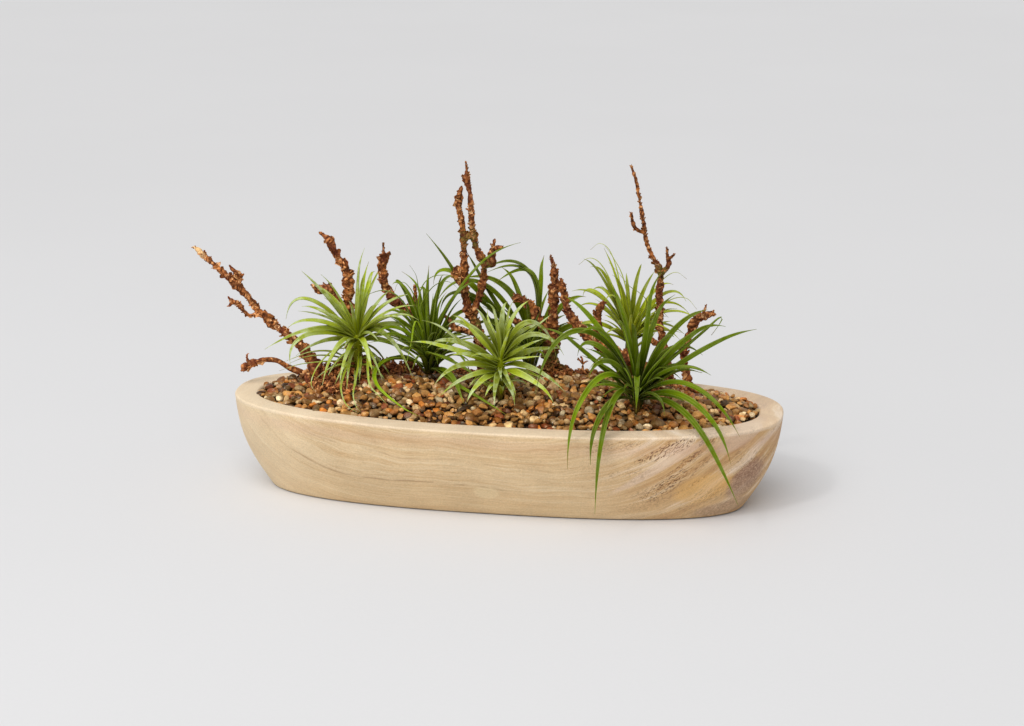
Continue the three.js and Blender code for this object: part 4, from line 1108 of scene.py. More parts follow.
# Points, directions and radii at shares of a route's length.
def stationsOf(path, shares):
    curve, along, t = routeOf(path)
    at = np.asarray(shares) * along[-1]
    step = along[-1] * 0.004

    def pick(where):
        return np.stack([np.interp(where, along, curve[:, n]) for n in range(3)], axis=-1)

    ahead = pick(np.clip(at + step, 0, along[-1])) - pick(np.clip(at - step, 0, along[-1]))
    radii = np.interp(np.interp(at, along, t), np.arange(len(path)), [row[3] for row in path])
    return pick(at), unit(ahead), radii


# Two unit vectors square to a route's direction and to each other.
def squareTo(ahead):
    side = unit(np.cross(ahead, np.array([0.12, 1.0, 0.07])))
    return side, np.cross(ahead, side)


# twigs
bark = {
    "around": 26, "ringGap": 0.8, "slim": 0.76, "knobs": 0.62, "knobSize": 8.5,
    "scales": 2.0, "scaleSize": 4.3, "fineSize": 1.9, "flakeGap": 0.95, "flakeThickness": 0.42,
    "calm": {"twig_left_low": (0.16, 0.66)},  # the shares of its length between which a twig is bare
}
# where moss grows: x, y, z and how far it reaches
mossSpots = np.array([
    (-37, 31, 228, 11), (-26, 31, 150, 12), (135, 40, 200, 9), (30, 38, 118, 17), (45, 38, 116, 15),
    (-24, 34, 206, 8), (-152, 46, 128, 9), (141, 38, 122, 9), (-88, 50, 142, 9)], float)
# small twigs and stubs that only the finished planter has: rows of x, y, z and radius
stubs = {
    "twig_centre": [
        [[-30, 28, 138, 2.4], [-40, 27, 142, 2.6], [-49, 27, 144, 3.2], [-55, 27, 147, 2]],
        [[-49, 27, 144, 2.2], [-57, 28, 152, 2.6], [-61, 28, 155, 1.4]],
    ],
    "twig_stump": [
        [[24, 42, 148, 2.6], [14, 42, 146, 2.4], [4, 41, 149, 2.8], [-3, 41, 151, 1.6]],
    ],
    "twig_bent": [
        [[-74, 50, 104, 2.2], [-67, 50, 118, 2], [-62, 47, 131, 2.2], [-55, 44, 137, 1.4]],
    ],
    "twig_lying": [
        [[66, 36, 101, 1.7], [66, 36, 108, 1.5], [66, 36, 114, 1.2], [65, 36, 119, 0.7]],
        [[66, 36, 112, 1.1], [70, 36, 116, 0.7]],
        [[66, 36, 113, 1.1], [62, 36, 117, 0.7]],
    ],
    "twig_left_low": [
        [[-234, 12, 107, 3.4], [-240, 11, 106, 4.6], [-245, 10, 103, 4.4], [-247, 10, 100, 2.4]],
    ],
    "twig_right": [
        [[140, 38, 131, 2.4], [131, 37, 136, 2.8], [127, 36, 141, 1.8]],
    ],
}


# A branch's skin: circles across its route, pushed out by knobs, by scaly cells of bark whose edges
# sink, and by fine grit.
def branchRings(path, seed, foot, calm):
    count = max(6, int(lengthOf(path) / bark["ringGap"]))
    points, ahead, radii = stationsOf(path, np.linspace(0, 1, count))
    side, over = squareTo(ahead)
    angle = 2 * np.pi * np.arange(bark["around"]) / bark["around"]
    spoke = side[:, None] * np.cos(angle)[None, :, None] + over[:, None] * np.sin(angle)[None, :, None]
    radii = radii * (1 if foot else bark["slim"])
    skin = points[:, None] + spoke * radii[:, None, None]
    strayed = skin + 1.5 * noise(skin, 4, seed + 2)[..., None]
    near, second = crackle(strayed, bark["scaleSize"], seed)
    fine, _ = crackle(skin, bark["fineSize"], seed + 5)
    size = np.clip(radii / 4.0, 0.45, 1.25)[:, None]
    knob = noise(skin, bark["knobSize"], seed + 1, 2)
    push = 1 + bark["knobs"] * np.where(knob > 0, 1.7 * knob, 0.75 * knob)
    lift = bark["scales"] * size * (smooth(0.0, 0.35, second - near) * (0.9 - near) - 0.35)
    lift += 0.4 * size * (0.75 - fine) + 0.2 * size * noise(skin, 1.1, seed + 4)
    if foot:
        push, lift = np.ones_like(push), 0 * lift
    if calm is not None:
        share = np.linspace(0, 1, count)[:, None]
        still = smooth(calm[0] - 0.08, calm[0], share) * (1 - smooth(calm[1], calm[1] + 0.08, share))
        push, lift = lerp(push, 1.05, 0.8 * still), lift * (1 - 0.85 * still)
    taper = np.ones(count)
    taper[-3:] = [0.9, 0.72, 0.4]
    out = spoke * (radii[:, None] * push + lift)[..., None] * taper[:, None, None]
    return points[:, None] + out, second - near


# Loose scales of bark: small bent plates, 3 x 3 points over 3 x 3 below, that stand out from the
# branch at random slants.
def flakesOn(path, seed, calm):
    generator = np.random.default_rng(seed)
    count = int(lengthOf(path) / bark["flakeGap"])
    shares = np.sort(generator.random(count))
    if calm is not None:
        shares = shares[(shares < calm[0]) | (shares > calm[1] + 0.04)]
        count = len(shares)
    points, ahead, radii = stationsOf(path, shares)
    radii = (radii * bark["slim"])[:, None]
    side, over = squareTo(ahead)
    angle = 2 * np.pi * generator.random(count)[:, None]
    outward = side * np.cos(angle) + over * np.sin(angle)
    # which way each plate points: off the branch by a slant, and spun to one side
    slant = (0.15 + 0.9 * generator.random(count)) * np.where(generator.random(count) < 0.7, 1, -1)
    slant, spin = slant[:, None], (generator.random(count)[:, None] - 0.5) * 1.6
    pointing = unit(ahead * np.cos(slant) + outward * np.sin(np.abs(slant)) * 0.9)
    pointing = unit(pointing * np.cos(spin) + np.cross(ahead, outward) * np.sin(spin))
    across = unit(np.cross(outward, pointing))
    normal = np.cross(pointing, across)
    size = 0.6 + 1.35 * generator.random(count)[:, None] ** 1.8
    size = (size * np.clip(radii / 2.4, 0.42, 1.3))[..., None]
    wide = (0.7 + 0.6 * generator.random(count))[:, None]
    # the plate's own grid, with ragged edges, bent down at its sides and up at its tip
    u, v = (grid.ravel() for grid in np.meshgrid([-0.3, 0.45, 1.0], [-1.0, 0.0, 1.0], indexing="ij"))
    ragged = 1 + 0.3 * (generator.random((count, 9)) - 0.5)
    bend = -0.35 * v**2 + 0.25 * u**2 + 0.12 * (generator.random((count, 9)) - 0.5)
    plate = pointing[:, None] * (1.9 * u * ragged)[..., None]
    plate = plate + across[:, None] * (wide * 1.25 * v * ragged * (1 - 0.25 * u))[..., None]
    plate = (plate + normal[:, None] * (0.9 * bend)[..., None]) * size
    upper = (points + outward * (radii * 0.93))[:, None] + plate
    lower = upper - normal[:, None] * bark["flakeThickness"] * size
    cells = np.array([[0, 1, 4, 3], [1, 2, 5, 4], [3, 4, 7, 6], [4, 5, 8, 7]])
    rim = np.array([0, 1, 2, 5, 8, 7, 6, 3])
    walls = np.stack([rim, rim + 9, np.roll(rim, -1) + 9, np.roll(rim, -1)], axis=-1)
    faces = np.concatenate([cells[:, ::-1], cells + 9, walls])
    return np.concatenate([upper, lower], axis=1), copiedFaces(faces, 18, count), count


# 1 at the middle of a mossy spot, 0 past its reach.
def mossAt(points):
    away = np.linalg.norm(points[:, None] - mossSpots[None, :, :3], axis=-1) / mossSpots[:, 3]
    return np.clip(1.25 - away.min(axis=1), 0, 1)


# A twig's branches, each a closed skin with flakes on it. The first is its foot, a smooth peg from the
# foam up through the gravel that leans over to where the route starts.
def makeTwig(name):
    twig = twigs[name]
    (x, y), peg = twig["foot"], twig["peg"]
    startX, startY, startZ, startRadius = twig["path"][0]
    ground = float(gravelTop(x, y)) + 1.2
    foot = [[x, y, 39, peg], [x, y, 60, peg], [x, y, ground - 3, peg],
            [lerp(x, startX, 0.4), lerp(y, startY, 0.4), lerp(ground, startZ, 0.5),
             lerp(peg, startRadius, 0.7)],
            [startX, startY, startZ + 1, 0.95 * startRadius]]
    made = shape()
    for i, path in enumerate([foot, twig["path"], *twig["shoots"], *stubs.get(name, [])]):
        calm = bark["calm"].get(name) if i == 1 else None
        skin, cracks = branchRings(path, twig["seed"] + i * 5, i == 0, calm)
        points, faces = closedTube(skin)
        ridge = np.concatenate([np.ravel(cracks), [0.5, 0.5]])
        share = np.concatenate([np.repeat(np.linspace(0, 1, len(skin)), skin.shape[1]), [0, 1]])
        bare = smooth(0.86, 0.97, share) * (i == 1) * (name == "twig_left")  # its tip has lost its bark
        made.add(points, faces, ridge=ridge, bare=bare, moss=mossAt(points))
        if i:
            points, faces, count = flakesOn(path, twig["seed"] + i * 9, calm)
            ridge = np.repeat(0.15 + 0.6 * draw(np.arange(count) + twig["seed"]), 18)
            made.add(points, faces, ridge=ridge, bare=0.0, moss=mossAt(points.reshape(-1, 3)))
    return made.toMesh(name.replace("twig", "bark_twig"))


for name in twigs:
    makePiece(name.replace("twig", "bark_twig"), makeTwig(name), barkMaterial, "bark", name)
print("twigs made")

# crumbs of bark
crumbs = {
    # each heap: its middle, how far it reaches, how high it stands, and its crumbs
    "heaps": [(-188, 31, 16, 9, 190), (-170, 26, 24, 15, 480), (-146, 26, 27, 22, 800),
              (-152, 6, 20, 12, 320), (-166, -4, 18, 8, 240), (-146, -18, 16, 6, 180),
              (-122, 38, 23, 15, 420), (-100, 48, 18, 12, 260), (-78, 48, 16, 7, 150),
              (-46, 38, 15, 6, 130), (-27, 24, 12, 6, 110), (37, 36, 22, 10, 330), (66, 36, 10, 3, 40),
              (16, 52, 14, 6, 100), (147, 34, 12, 5, 80), (108, 50, 16, 6, 110), (134, 14, 8, 3, 40),
              (165, 34, 9, 3, 40), (122, -28, 12, 4, 60)],
    "size": (0.9, 2.1), "flat": 0.62, "tilt": 0.8,
}


# Angular bark chips: balls of 20 faces, stretched and turned, heaped in low domes on the gravel.
def makeCrumbs():
    generator = np.random.default_rng(12)
    ball, faces = ballGrid(0)
    rows = []
    for x, y, reach, height, count in crumbs["heaps"]:
        angle = 2 * np.pi * generator.random(count)
        away = np.sqrt(generator.random(count))
        chipX = x + reach * away * np.cos(angle)
        chipY = y + reach * crumbs["flat"] * away * np.sin(angle)
        dome = height * (1 - away**2) * generator.random(count) ** 0.55
        rows.append(np.stack([chipX, chipY, gravelTop(chipX, chipY) + 0.8 + dome], axis=-1))
    at = np.concatenate(rows)
    at = at[insideHollow(at[:, 0], at[:, 1], 2) < 1]
    count = len(at)
    size = lerp(*crumbs["size"], generator.random(count) ** 2)
    stretch = np.stack([low + spread * generator.random(count) for low, spread in
                        ((1, 0.9), (0.7, 0.4), (0.4, 0.4))], axis=-1)
    rough = 1 + 0.35 * (generator.random((count, len(ball))) - 0.5)
    chips = ball[None] * stretch[:, None] * (size[:, None] * rough)[..., None]
    chips = np.einsum("nij,nkj->nki", turnsOf(generator, count, crumbs["tilt"]), chips) + at[:, None]
    ridge = np.repeat(0.02 + 0.55 * generator.random(count), len(ball))
    made = shape()
    made.add(chips, copiedFaces(faces, len(ball), count), ridge=ridge, bare=0.0,
             moss=0.6 * mossAt(chips.reshape(-1, 3)))
    return made.toMesh("bark_crumbs", flat=True)


makePiece("bark_crumbs", makeCrumbs(), barkMaterial, "bark")
print("crumbs made")

# leaves
blade = {
    "samples": 32, "clearance": 2, "barkDepth": 2, "coreRadius": 6, "stemRadius": 2.4,
    "rings": 26, "acrossTop": 7, "gutter": 0.6, "thickness": (0.9, 0.45), "thinnest": 0.14,
    # each plant's leaves: how much wider than the model's, and the power by which they thin
    "fullness": {"plant_left": (1.1, 1.7), "plant_back_left": (0.95, 3.0),
                 "plant_behind": (0.95, 2.6), "plant_front": (1.12, 1.6),
                 "plant_back_right": (0.95, 1.8), "plant_right": (0.86, 3.2)},
    # how far each plant's leaves sway to one side and how far their tips curl, as shares of their
    # length
    "sway": {"plant_left": (0.05, 0.07), "plant_back_left": (0.14, 0.15), "plant_behind": (0.08, 0.11),
             "plant_front": (0.08, 0.1), "plant_back_right": (0.05, 0.09), "plant_right": (0.05, 0.1)},
    # how much higher up the stem each plant's steepest leaves start
    "climb": {"plant_left": 2, "plant_back_left": 4, "plant_behind": 3, "plant_front": 13,
              "plant_back_right": 4, "plant_right": 3},
    # how many finer leaves are tried between the model's
    "extra": {"plant_left": 12, "plant_back_left": 34, "plant_behind": 30, "plant_front": 12,
              "plant_back_right": 20, "plant_right": 16},
}
allNames = [*twigs, *plants]
taken = []  # rows of points, radii and owners that no other plant's leaf may touch


# Keeps these points, with their radii, for one twig or plant.
def take(name, points, radii):
    owner = np.full(len(points), allNames.index(name))
    taken.append((points, np.broadcast_to(radii, len(points)), owner))


# Whether points are farther from all that others have taken than both radii, the others' grown by a
# factor, and what is to spare.
def keepsOff(points, radii, name, grow, spare):
    their, reach, owner = (np.concatenate(column) for column in zip(*taken))
    others = owner != allNames.index(name)
    apart = np.linalg.norm(points[:, None] - their[others][None], axis=-1)
    return not np.any(apart < radii[:, None] + grow * reach[others][None] + spare)


for name, twig in twigs.items():
    for path in [twig["path"], *twig["shoots"]]:
        points, _, radii = stationsOf(path, np.linspace(0, 1, 8 * len(path) + 1))
        take(name, points, radii + blade["barkDepth"])
for name, plant in plants.items():
    x, y, z = plant["heart"]
    heights = np.arange(float(gravelTop(x, y)), z + 4, 3)
    core = np.stack([np.full(len(heights), x), np.full(len(heights), y), heights], axis=-1)
    take(name, core, blade["coreRadius"])


# Half a leaf's width: from under half at the root to full at 22% of its length, then thinning with a
# power of the way to the tip.
def halfWidthAt(width, t, taper=2.0):
    return width / 2 * (0.45 + 0.55 * np.minimum(1, t / 0.22)) * (1 - 0.94 * t**taper)


# A level unit vector at a heading in radians, and the one to its left.
def levelPair(heading):
    out = np.array([math.cos(heading), math.sin(heading), 0])
    return out, np.array([-out[1], out[0], 0])


# A leaf's three points, and level left: a quadratic curve from the heart over a bend to the tip.
def leafCurve(heart, leaf):
    heading, reach, rise, lift, pull, curl = leaf
    out, left = levelPair(math.radians(heading))
    steep = max(-0.3, lift / math.hypot(pull * reach, lift))
    middle = np.array(heart, float)
    root = middle + out * 2.5 * math.sqrt(1 - steep * steep) + [0, 0, 6 * steep - 4]
    bend = middle + out * pull * reach + [0, 0, lift]
    tip = middle + out * reach + left * curl + [0, 0, rise]
    return np.stack([root, bend, tip]), left


# Points of the quadratic curve: (1 - t)^2 root + 2 t (1 - t) bend + t^2 tip.
def curvePoints(curve, t):
    t = np.asarray(t)[:, None]
    return (1 - t) ** 2 * curve[0] + 2 * t * (1 - t) * curve[1] + t**2 * curve[2]


# Whether a leaf's points keep off the bowl, the gravel and what others have taken.
def isClear(points, radii, name, spare):
    x, y, z = points.T
    wall = np.maximum(bowl["height"] + rimLift(x), gravelTop(x, y)) + radii + 1.5
    a, b, power = wallAt(np.clip(z / bowl["height"], 0, 1))
    within = np.abs(x / (a + 3)) ** power + np.abs(unskewed(x, y) / (b + 3)) ** power < 1
    return not np.any((z < wall) & within) and keepsOff(points, radii, name, 1.0, spare)


# turns in degrees and lifts in millimetres, from none to large, on both sides
bendsTried = [
    [0, 0], [5, 0], [-5, 0], [0, 6], [9, 3], [-9, 3], [0, 12], [14, 6], [-14, 6], [0, -6], [20, 10],
    [-20, 10], [9, 16], [-9, 16], [28, 6], [-28, 6], [0, 22], [16, 24], [-16, 24], [36, 12], [-36, 12],
    [46, 18], [-46, 18],
]


# Tries a leaf in place, then turned and raised a little, then shorter, until it is clear.
def placeLeaf(name, heart, width, leaf, roll, spare=blade["clearance"]):
    heading, reach, rise, lift, pull, curl = [*leaf, 0][:6]
    t = np.arange(3, blade["samples"] + 1) / blade["samples"]
    radii = halfWidthAt(width, t)
    for shorten in (1, 0.8, 0.62):
        for turn, raised in bendsTried:
            curve, left = leafCurve(heart, [
                heading + turn, reach * shorten, rise * shorten + raised, lift * shorten + raised, pull,
                curl * shorten])
            points = curvePoints(curve, t)
            if isClear(points, radii, name, spare):
                take(name, points, radii)
                return {"curve": curve, "left": left, "width": width, "roll": roll}
    return None


# Leaves that fill a plant out, turned by the golden angle, from low and flat to steep and short: each
# leaves the heart at its launch angle, goes 0.55 of its length and droops over the next half.
def fillLeaves(count, usualLength, low, seed):
    rows = []
    for i in range(count):
        share = i / count
        heading = seed * 40 + i * 137.5 + 24 * (float(draw(seed + i)) - 0.5)
        launch = math.radians(lerp(low + 20, 78, share))
        droop = math.radians(lerp(55, 18, share) * (0.7 + 0.6 * float(draw(seed + i + 50))))
        length = usualLength * (0.75 + 0.5 * float(draw(seed + i + 90)))
        bendOut, bendUp = 0.55 * length * math.cos(launch), 0.55 * length * math.sin(launch)
        reach = bendOut + 0.5 * length * math.cos(launch - droop)
        rise = bendUp + 0.5 * length * math.sin(launch - droop)
        rows.append([heading, reach, rise, bendUp, bendOut / reach])
    return rows


# How far a leaf rolls about its length, which shows its upper side to the front, and a draw besides.
def rollOf(plant, i, heading):
    drawn = 40 * (float(draw(plant * 100 + i)) - 0.5)
    return math.radians(38 * math.cos(math.radians(heading)) + drawn)


# Places a round of leaves of one plant, numbered on from first, and keeps those that find a place.
def placeRound(plant, name, leaves, share, first, spare=blade["clearance"]):
    heart, width = plants[name]["heart"], plants[name]["leafWidth"] * share
    for i, leaf in enumerate(leaves):
        leaf = placeLeaf(name, heart, width, leaf, rollOf(plant, i + first, leaf[0]), spare)
        if leaf:
            placed[name].append(leaf)


placed = {name: [] for name in plants}
for k, (name, plant) in enumerate(plants.items()):
    placeRound(k, name, plant["leaves"], 1, 0)
for k, (name, plant) in enumerate(plants.items()):
    filling = fillLeaves(plant["fill"], plant["fillReach"], plant["fillLow"], 7 * k + 1)
    placeRound(k, name, filling, 0.85, 50)
# finer leaves between them, which only the finished plants have
for k, (name, plant) in enumerate(plants.items()):
    finer = fillLeaves(blade["extra"][name], plant["fillReach"], plant["fillLow"] + 5, 11 * k + 3)
    placeRound(k, name, finer, 0.66, 70, -1.5)
print("leaves placed:", {name: len(leaves) for name, leaves in placed.items()})


# A leaf's skin: across it a gutter whose edges stand up by a share of the half width, and a keel below
# that thins to the edges and to the tip.
def bladeRings(points, ahead, left, half, roll, t, thin):
    level = unit(left - (left * ahead).sum(axis=-1, keepdims=True) * ahead)
    up = np.cross(ahead, level)
    turn = (roll * np.minimum(1, t / 0.3))[:, None]
    side = level * np.cos(turn) + up * np.sin(turn)
    up = np.cross(ahead, side)
    s = np.linspace(-1, 1, blade["acrossTop"])
    gutter = blade["gutter"] * np.abs(s) ** 1.4
    thick = lerp(*blade["thickness"], t)[:, None] * (1 - 0.86 * np.abs(s) ** 1.5)
    thick = thin * thick * np.clip(half / 1.2, 0.3, 1)[:, None]
    half, side, up = half[:, None], side[:, None], up[:, None]
    top = points[:, None] + side * (half * s)[..., None] + up * (half * gutter)[..., None]
    under = top - up * thick[..., None]
    rings = np.concatenate([top[:, ::-1], under[:, 1:-1]], axis=1)
    return rings, np.concatenate([s[::-1], s[1:-1]])


# One blade along a row of points: half its width follows the leaf's own curve of width.
def addBlade(made, points, left, width, roll, number, thin=1.0, tint=None, taper=2.0):
    t = np.linspace(0, 1, len(points))
    ahead = unit(np.gradient(points, axis=0))
    half = halfWidthAt(width, t, taper) * (1 - 0.55 * smooth(0.84, 1, t))
    half = np.maximum(half, blade["thinnest"])
    left = np.broadcast_to(left, points.shape)
    rings, across = bladeRings(points, ahead, left, half, roll, t, thin)
    points, faces = closedTube(rings)
    alongMark = np.concatenate([np.repeat(t, rings.shape[1]), [0, 1]])
    acrossMark = np.concatenate([np.tile(across, len(t)), [0, 0]])
    tint = draw(number * 3 + 1) if tint is None else tint
    made.add(points, faces, along=alongMark, across=acrossMark, stem=0.0, tint=tint)


# A placed leaf with what no two share: a slow sway to one side, the sine of the way along it, and a
# tip that curls with the square of the way. A steep leaf starts higher up the stem.
def addLeaf(made, leaf, number, swell, taper, wide, bent, climb):
    t = np.linspace(0, 1, blade["rings"]) ** 0.92
    curve = leaf["curve"].copy()
    steep = unit(curve[1] - curve[0])[2]
    curve[0, 2] += climb * smooth(0.1, 0.9, steep)
    points = curvePoints(curve, t)
    length = np.linalg.norm(np.diff(points, axis=0), axis=1).sum()
    sway, turn, curl, side = (float(draw(number * 7 + k)) for k in (2, 3, 4, 5))
    ahead = unit(np.gradient(points, axis=0))
    over = unit(np.cross(ahead, np.broadcast_to(leaf["left"], ahead.shape)))
    shift = wide * length * (sway - 0.5) * np.sin(np.pi * t * (1 + turn)) * t
    end = np.clip((t - 0.72) / 0.28, 0, 1) ** 2
    points = points + leaf["left"] * (shift + 0.08 * length * (side - 0.5) * end)[:, None]
    points = points - over * (bent * length * curl**2 * end)[:, None]
    width = leaf["width"] * swell
    addBlade(made, points, leaf["left"], width, leaf["roll"], number, taper=taper)


# The leaves that hug a plant's foot: how many, how long, how steeply they leave it and how far they
# droop.
sheaths = {
    "plant_left": (20, 36, 6, 32), "plant_back_left": (14, 42, 35, 16),
    "plant_behind": (12, 38, 40, 16), "plant_front": (12, 34, 12, 12),
    "plant_back_right": (11, 40, 20, 20), "plant_right": (13, 46, 38, 24),
}
# Leaves with a route of their own, which arch up from the heart, hang over, or lie across the gravel:
# which plant, how wide, how bright, and the points they pass.
trailing = [
    ("plant_back_left", 4.6, 1.9, [
        (-76, 20, 108), (-90, 22, 114), (-106, 18, 116), (-117, 9, 112), (-120, -3, 106),
        (-115, -19, 102), (-104, -36, 99), (-90, -50, 95), (-78, -58, 91), (-63, -65, 88)]),
    ("plant_back_left", 4.8, 1.5, [
        (-72, 18, 107), (-66, 10, 110), (-56, 1, 107), (-38, -21, 104), (-15, -42, 100),
        (11, -60, 92)]),
    ("plant_back_left", 3.0, 0.4, [
        (-75, 21, 109), (-77, 19, 132), (-79, 17, 152), (-80, 15, 165), (-74, 13, 178), (-67, 12, 187),
        (-58, 11, 192), (-50, 10, 191), (-44, 9, 186)]),
    ("plant_back_left", 2.8, 0.9, [
        (-75, 21, 109), (-78, 19, 132), (-81, 16, 156), (-81, 13, 175), (-76, 12, 189), (-68, 11, 196),
        (-60, 10, 198), (-50, 9, 198), (-42, 8, 192)]),
    ("plant_back_left", 3.2, 0.3, [
        (-76, 22, 109), (-81, 20, 132), (-89, 20, 152), (-96, 20, 167), (-105, 20, 176),
        (-115, 20, 179), (-124, 20, 177), (-131, 20, 173), (-134, 20, 166)]),
    ("plant_back_left", 2.8, 0.6, [
        (-76, 21, 109), (-80, 19, 134), (-83, 18, 161), (-87, 18, 177), (-93, 18, 186), (-97, 18, 188),
        (-102, 18, 186), (-104, 18, 180)]),
    ("plant_back_left", 3.0, 0.2, [
        (-75, 22, 109), (-79, 21, 133), (-81, 22, 161), (-83, 22, 180), (-85, 22, 193), (-88, 22, 199),
        (-91, 22, 203)]),
    ("plant_back_left", 2.6, 1.5, [
        (-75, 20, 109), (-77, 16, 133), (-79, 8, 148), (-82, 4, 156), (-84, 0, 149), (-85, -4, 138),
        (-88, -8, 124), (-90, -12, 113)]),
    ("plant_left", 2.2, 0.6, [
        (-143, 14, 120), (-146, 2, 112), (-147, -14, 104), (-144, -34, 99), (-134, -56, 93),
        (-118, -74, 92)]),
    ("plant_left", 2.0, 0.6, [
        (-138, 13, 122), (-135, -4, 112), (-134, -22, 103), (-131, -42, 97), (-124, -60, 93),
        (-117, -72, 92)]),
    ("plant_left", 2.4, 0.6, [
        (-136, 14, 126), (-128, 4, 122), (-124, -12, 110), (-119, -26, 102), (-106, -44, 98),
        (-96, -58, 95)]),
    ("plant_left", 2.0, 0.6, [
        (-146, 16, 124), (-160, 8, 124), (-172, -4, 112), (-176, -16, 100), (-170, -28, 95)]),
    ("plant_left", 2.6, 0.6, [
        (-150, 24, 112), (-166, 20, 119), (-184, 15, 119), (-200, 12, 113), (-209, 9, 110)]),
    ("plant_left", 2.4, 0.6, [
        (-150, 26, 110), (-170, 26, 113), (-190, 26, 111), (-209, 26, 103)]),
    ("plant_left", 2.2, 0.6, [
        (-150, 22, 110), (-172, 16, 110), (-194, 10, 108), (-212, 7, 102)]),
    ("plant_right", 2.2, 0.9, [
        (112, -32, 104), (104, -34, 122), (110, -40, 134), (118, -46, 122), (121, -50, 104)]),
    ("plant_right", 4.4, 0.7, [
        (123, -34, 108), (135, -33, 125), (148, -33, 139), (163, -31, 153), (180, -30, 169),
        (190, -30, 179), (194, -30, 180), (191, -30, 173), (185, -30, 164)]),
    ("plant_right", 4.2, 0.5, [
        (124, -33, 106), (138, -31, 118), (152, -29, 128), (164, -27, 131), (178, -25, 128)]),
    ("plant_back_right", 3.0, 1.0, [
        (106, 47, 132), (98, 46, 160), (90, 45, 188), (80, 43, 206), (70, 41, 211), (61, 39, 205)]),
    ("plant_back_right", 2.6, 1.3, [
        (107, 46, 132), (101, 45, 170), (95, 45, 200), (88, 45, 218), (79, 45, 224), (71, 44, 218)]),
    ("plant_back_right", 2.6, 1.1, [
        (109, 47, 132), (106, 45, 170), (100, 44, 196), (90, 44, 214), (84, 44, 222)]),
    ("plant_back_right", 2.4, 1.0, [
        (111, 47, 130), (124, 50, 170), (136, 52, 190), (148, 52, 198), (158, 52, 192)]),
    ("plant_back_right", 2.2, 0.9, [
        (111, 47, 128), (128, 50, 158), (144, 52, 172), (158, 52, 174), (168, 52, 164)]),
    ("plant_back_right", 1.6, 0.0, [
        (112, 46, 132), (120, 36, 160), (124, 30, 175), (118, 26, 184), (108, 22, 192), (98, 20, 205),
        (90, 18, 214)]),
]


# Short leaves from the core's side: out and up, then over, each starting a little higher.
def addSheaths(made, name, number):
    x, y, z = plants[name]["heart"]
    count, length, lift, droop = sheaths[name]
    ground = float(gravelTop(x, y))
    t = np.linspace(0, 1, 18)
    radii = halfWidthAt(4.2, t)
    for i in range(count):
        share = i / (count - 1)
        out, left = levelPair(math.radians(137.5 * i + 50 * number))
        start = lerp(ground + 1.5, z - 3, share**0.8)
        reach = length * (0.7 + 0.5 * float(draw(number * 31 + i)))
        up = lift * (0.6 + 0.8 * float(draw(number * 31 + i + 40)))
        root = np.array([x, y, start]) + 3.2 * out
        bend = np.array([x, y, start + up]) + 0.5 * reach * out
        tip = np.array([x, y, start + up - droop * (0.5 + share * 0.9)]) + reach * out
        tip += left * 10 * (float(draw(i)) - 0.5)
        tip[2] = max(tip[2], float(gravelTop(tip[0], tip[1])) + 2.5)
        points = curvePoints(np.stack([root, bend, tip]), t)
        inside = insideHollow(points[:, 0], points[:, 1], 2).max() < 1
        if inside and keepsOff(points[4:], radii[4:], name, 0.8, 0.0):
            width = plants[name]["leafWidth"] * 0.8
            addBlade(made, points, left, width, 0.0, number * 100 + 60 + i)


# A turned solid: a profile of radius and height pairs carried round an upright line.
def turned(profile, x, y, sides):
    radius, z = np.array(profile, float).T[..., None]
    angle = 2 * np.pi * np.arange(sides) / sides
    columns = [x + radius * np.cos(angle), y + radius * np.sin(angle), z * np.ones(sides)]
    return closedTube(np.stack(columns, axis=-1))


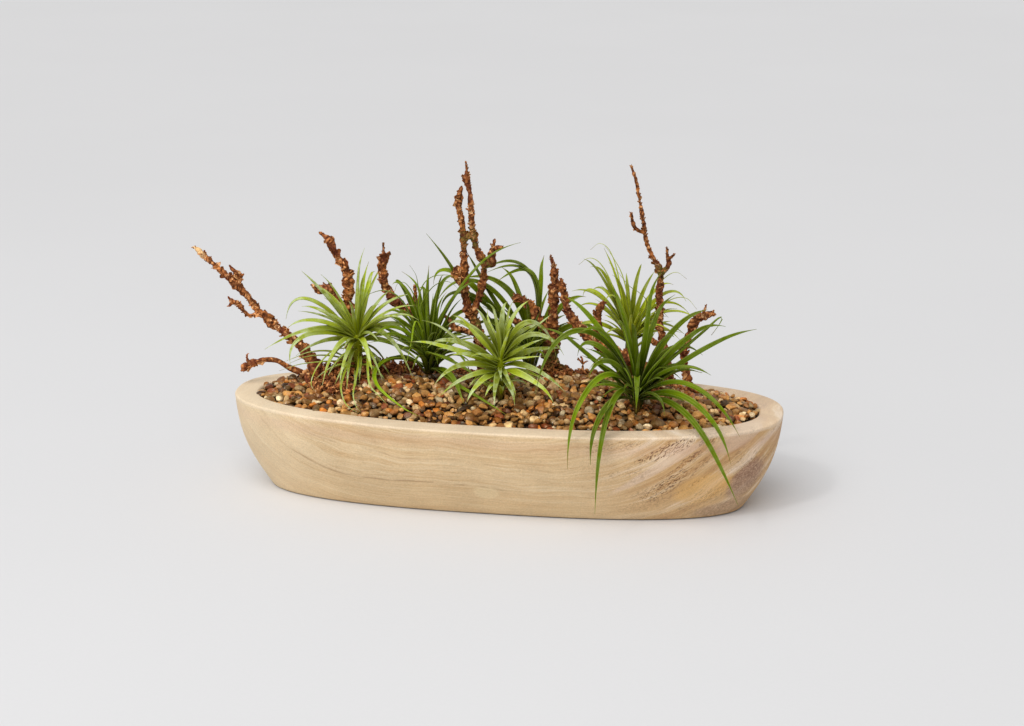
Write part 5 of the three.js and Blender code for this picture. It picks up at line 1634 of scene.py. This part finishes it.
# A stem that swells under the heart, then the placed leaves, the sheaths and the leaves with routes.
def makePlant(name, number):
    x, y, z = plants[name]["heart"]
    ground = float(gravelTop(x, y)) + 1.2
    swell = min(4, (z - ground) * 0.5)
    stem, climb = blade["stemRadius"], blade["climb"][name]
    made = shape()
    points, faces = turned(
        [[stem, 38], [stem, ground], [3.4, ground + swell], [4.6, z - 4], [4.2, z + 3],
         [2.6, z + 4 + climb], [0.6, z + 5 + climb]], x, y, 20)
    woody = smooth(z + 2, ground - 2, points[:, 2])
    made.add(points, faces, along=0.02, across=0.0, tint=0.3, stem=woody)
    for i, leaf in enumerate(placed[name]):
        fullness, sway = blade["fullness"][name], blade["sway"][name]
        addLeaf(made, leaf, number * 100 + i, *fullness, *sway, climb)
    addSheaths(made, name, number)
    for i, (owner, width, bright, path) in enumerate(trailing):
        if owner == name:
            route = [[*point, 1] for point in path]
            points, ahead, _ = stationsOf(route, np.linspace(0, 1, 44))
            left = unit(np.cross(np.array([0.0, 0.0, 1.0]), ahead) + 1e-4)
            thick = 2.4 if width > 4 else 1.0
            addBlade(made, points, left, width, 0.0, number * 100 + 90 + i, thick, bright)
    return made.toMesh(name.replace("plant", "air_plant"))


for number, name in enumerate(plants):
    makePiece(name.replace("plant", "air_plant"), makePlant(name, number), leafMaterials[name],
              name.replace("plant", "leaves"), name)
print("plants made")

# floor and light
studio = {
    "floorReach": 9, "floorLevel": -0.0004, "worldStrength": 0.49, "worldColor": (1, 0.99, 0.985, 1),
    "sunStrength": 1.9, "sunAngle": 56, "sunFrom": (-0.28, -0.9, 1.5), "lookAt": (0, 0, 0.1),
    "sparklePower": 7.0, "sparkleFrom": (-0.7, -1.3, 1.7), "sparkleSize": 0.22,
}


# A square round the origin, a hair under the bowl's foot.
def makeFloor():
    r, z = studio["floorReach"], studio["floorLevel"]
    mesh = bpy.data.meshes.new("floor")
    mesh.from_pydata([(-r, -r, z), (r, -r, z), (r, r, z), (-r, r, z)], [], [(0, 1, 2, 3)])
    floor = bpy.data.objects.new("floor", mesh)
    bpy.context.collection.objects.link(floor)
    mesh.materials.append(makePaper())


# A light at a place, turned to the middle of the planting.
def addLight(name, kind, place, energy, **settings):
    lamp = bpy.data.lights.new(name, kind)
    lamp.energy = energy
    for key, value in settings.items():
        setattr(lamp, key, value)
    holder = bpy.data.objects.new(name, lamp)
    bpy.context.collection.objects.link(holder)
    holder.location = place
    toward = Vector(studio["lookAt"]) - Vector(place)
    holder.rotation_euler = toward.to_track_quat("-Z", "Y").to_euler()


makeFloor()
addLight("soft_sky", "SUN", studio["sunFrom"], studio["sunStrength"],
         angle=math.radians(studio["sunAngle"]))
addLight("sparkle", "AREA", studio["sparkleFrom"], studio["sparklePower"], size=studio["sparkleSize"])
world = bpy.data.worlds.new("studio")
world.use_nodes = True
background = world.node_tree.nodes["Background"].inputs
background["Color"].default_value = studio["worldColor"]
background["Strength"].default_value = studio["worldStrength"]
bpy.context.scene.world = world
bpy.context.scene.view_settings.view_transform = "Standard"

print("scene ready")
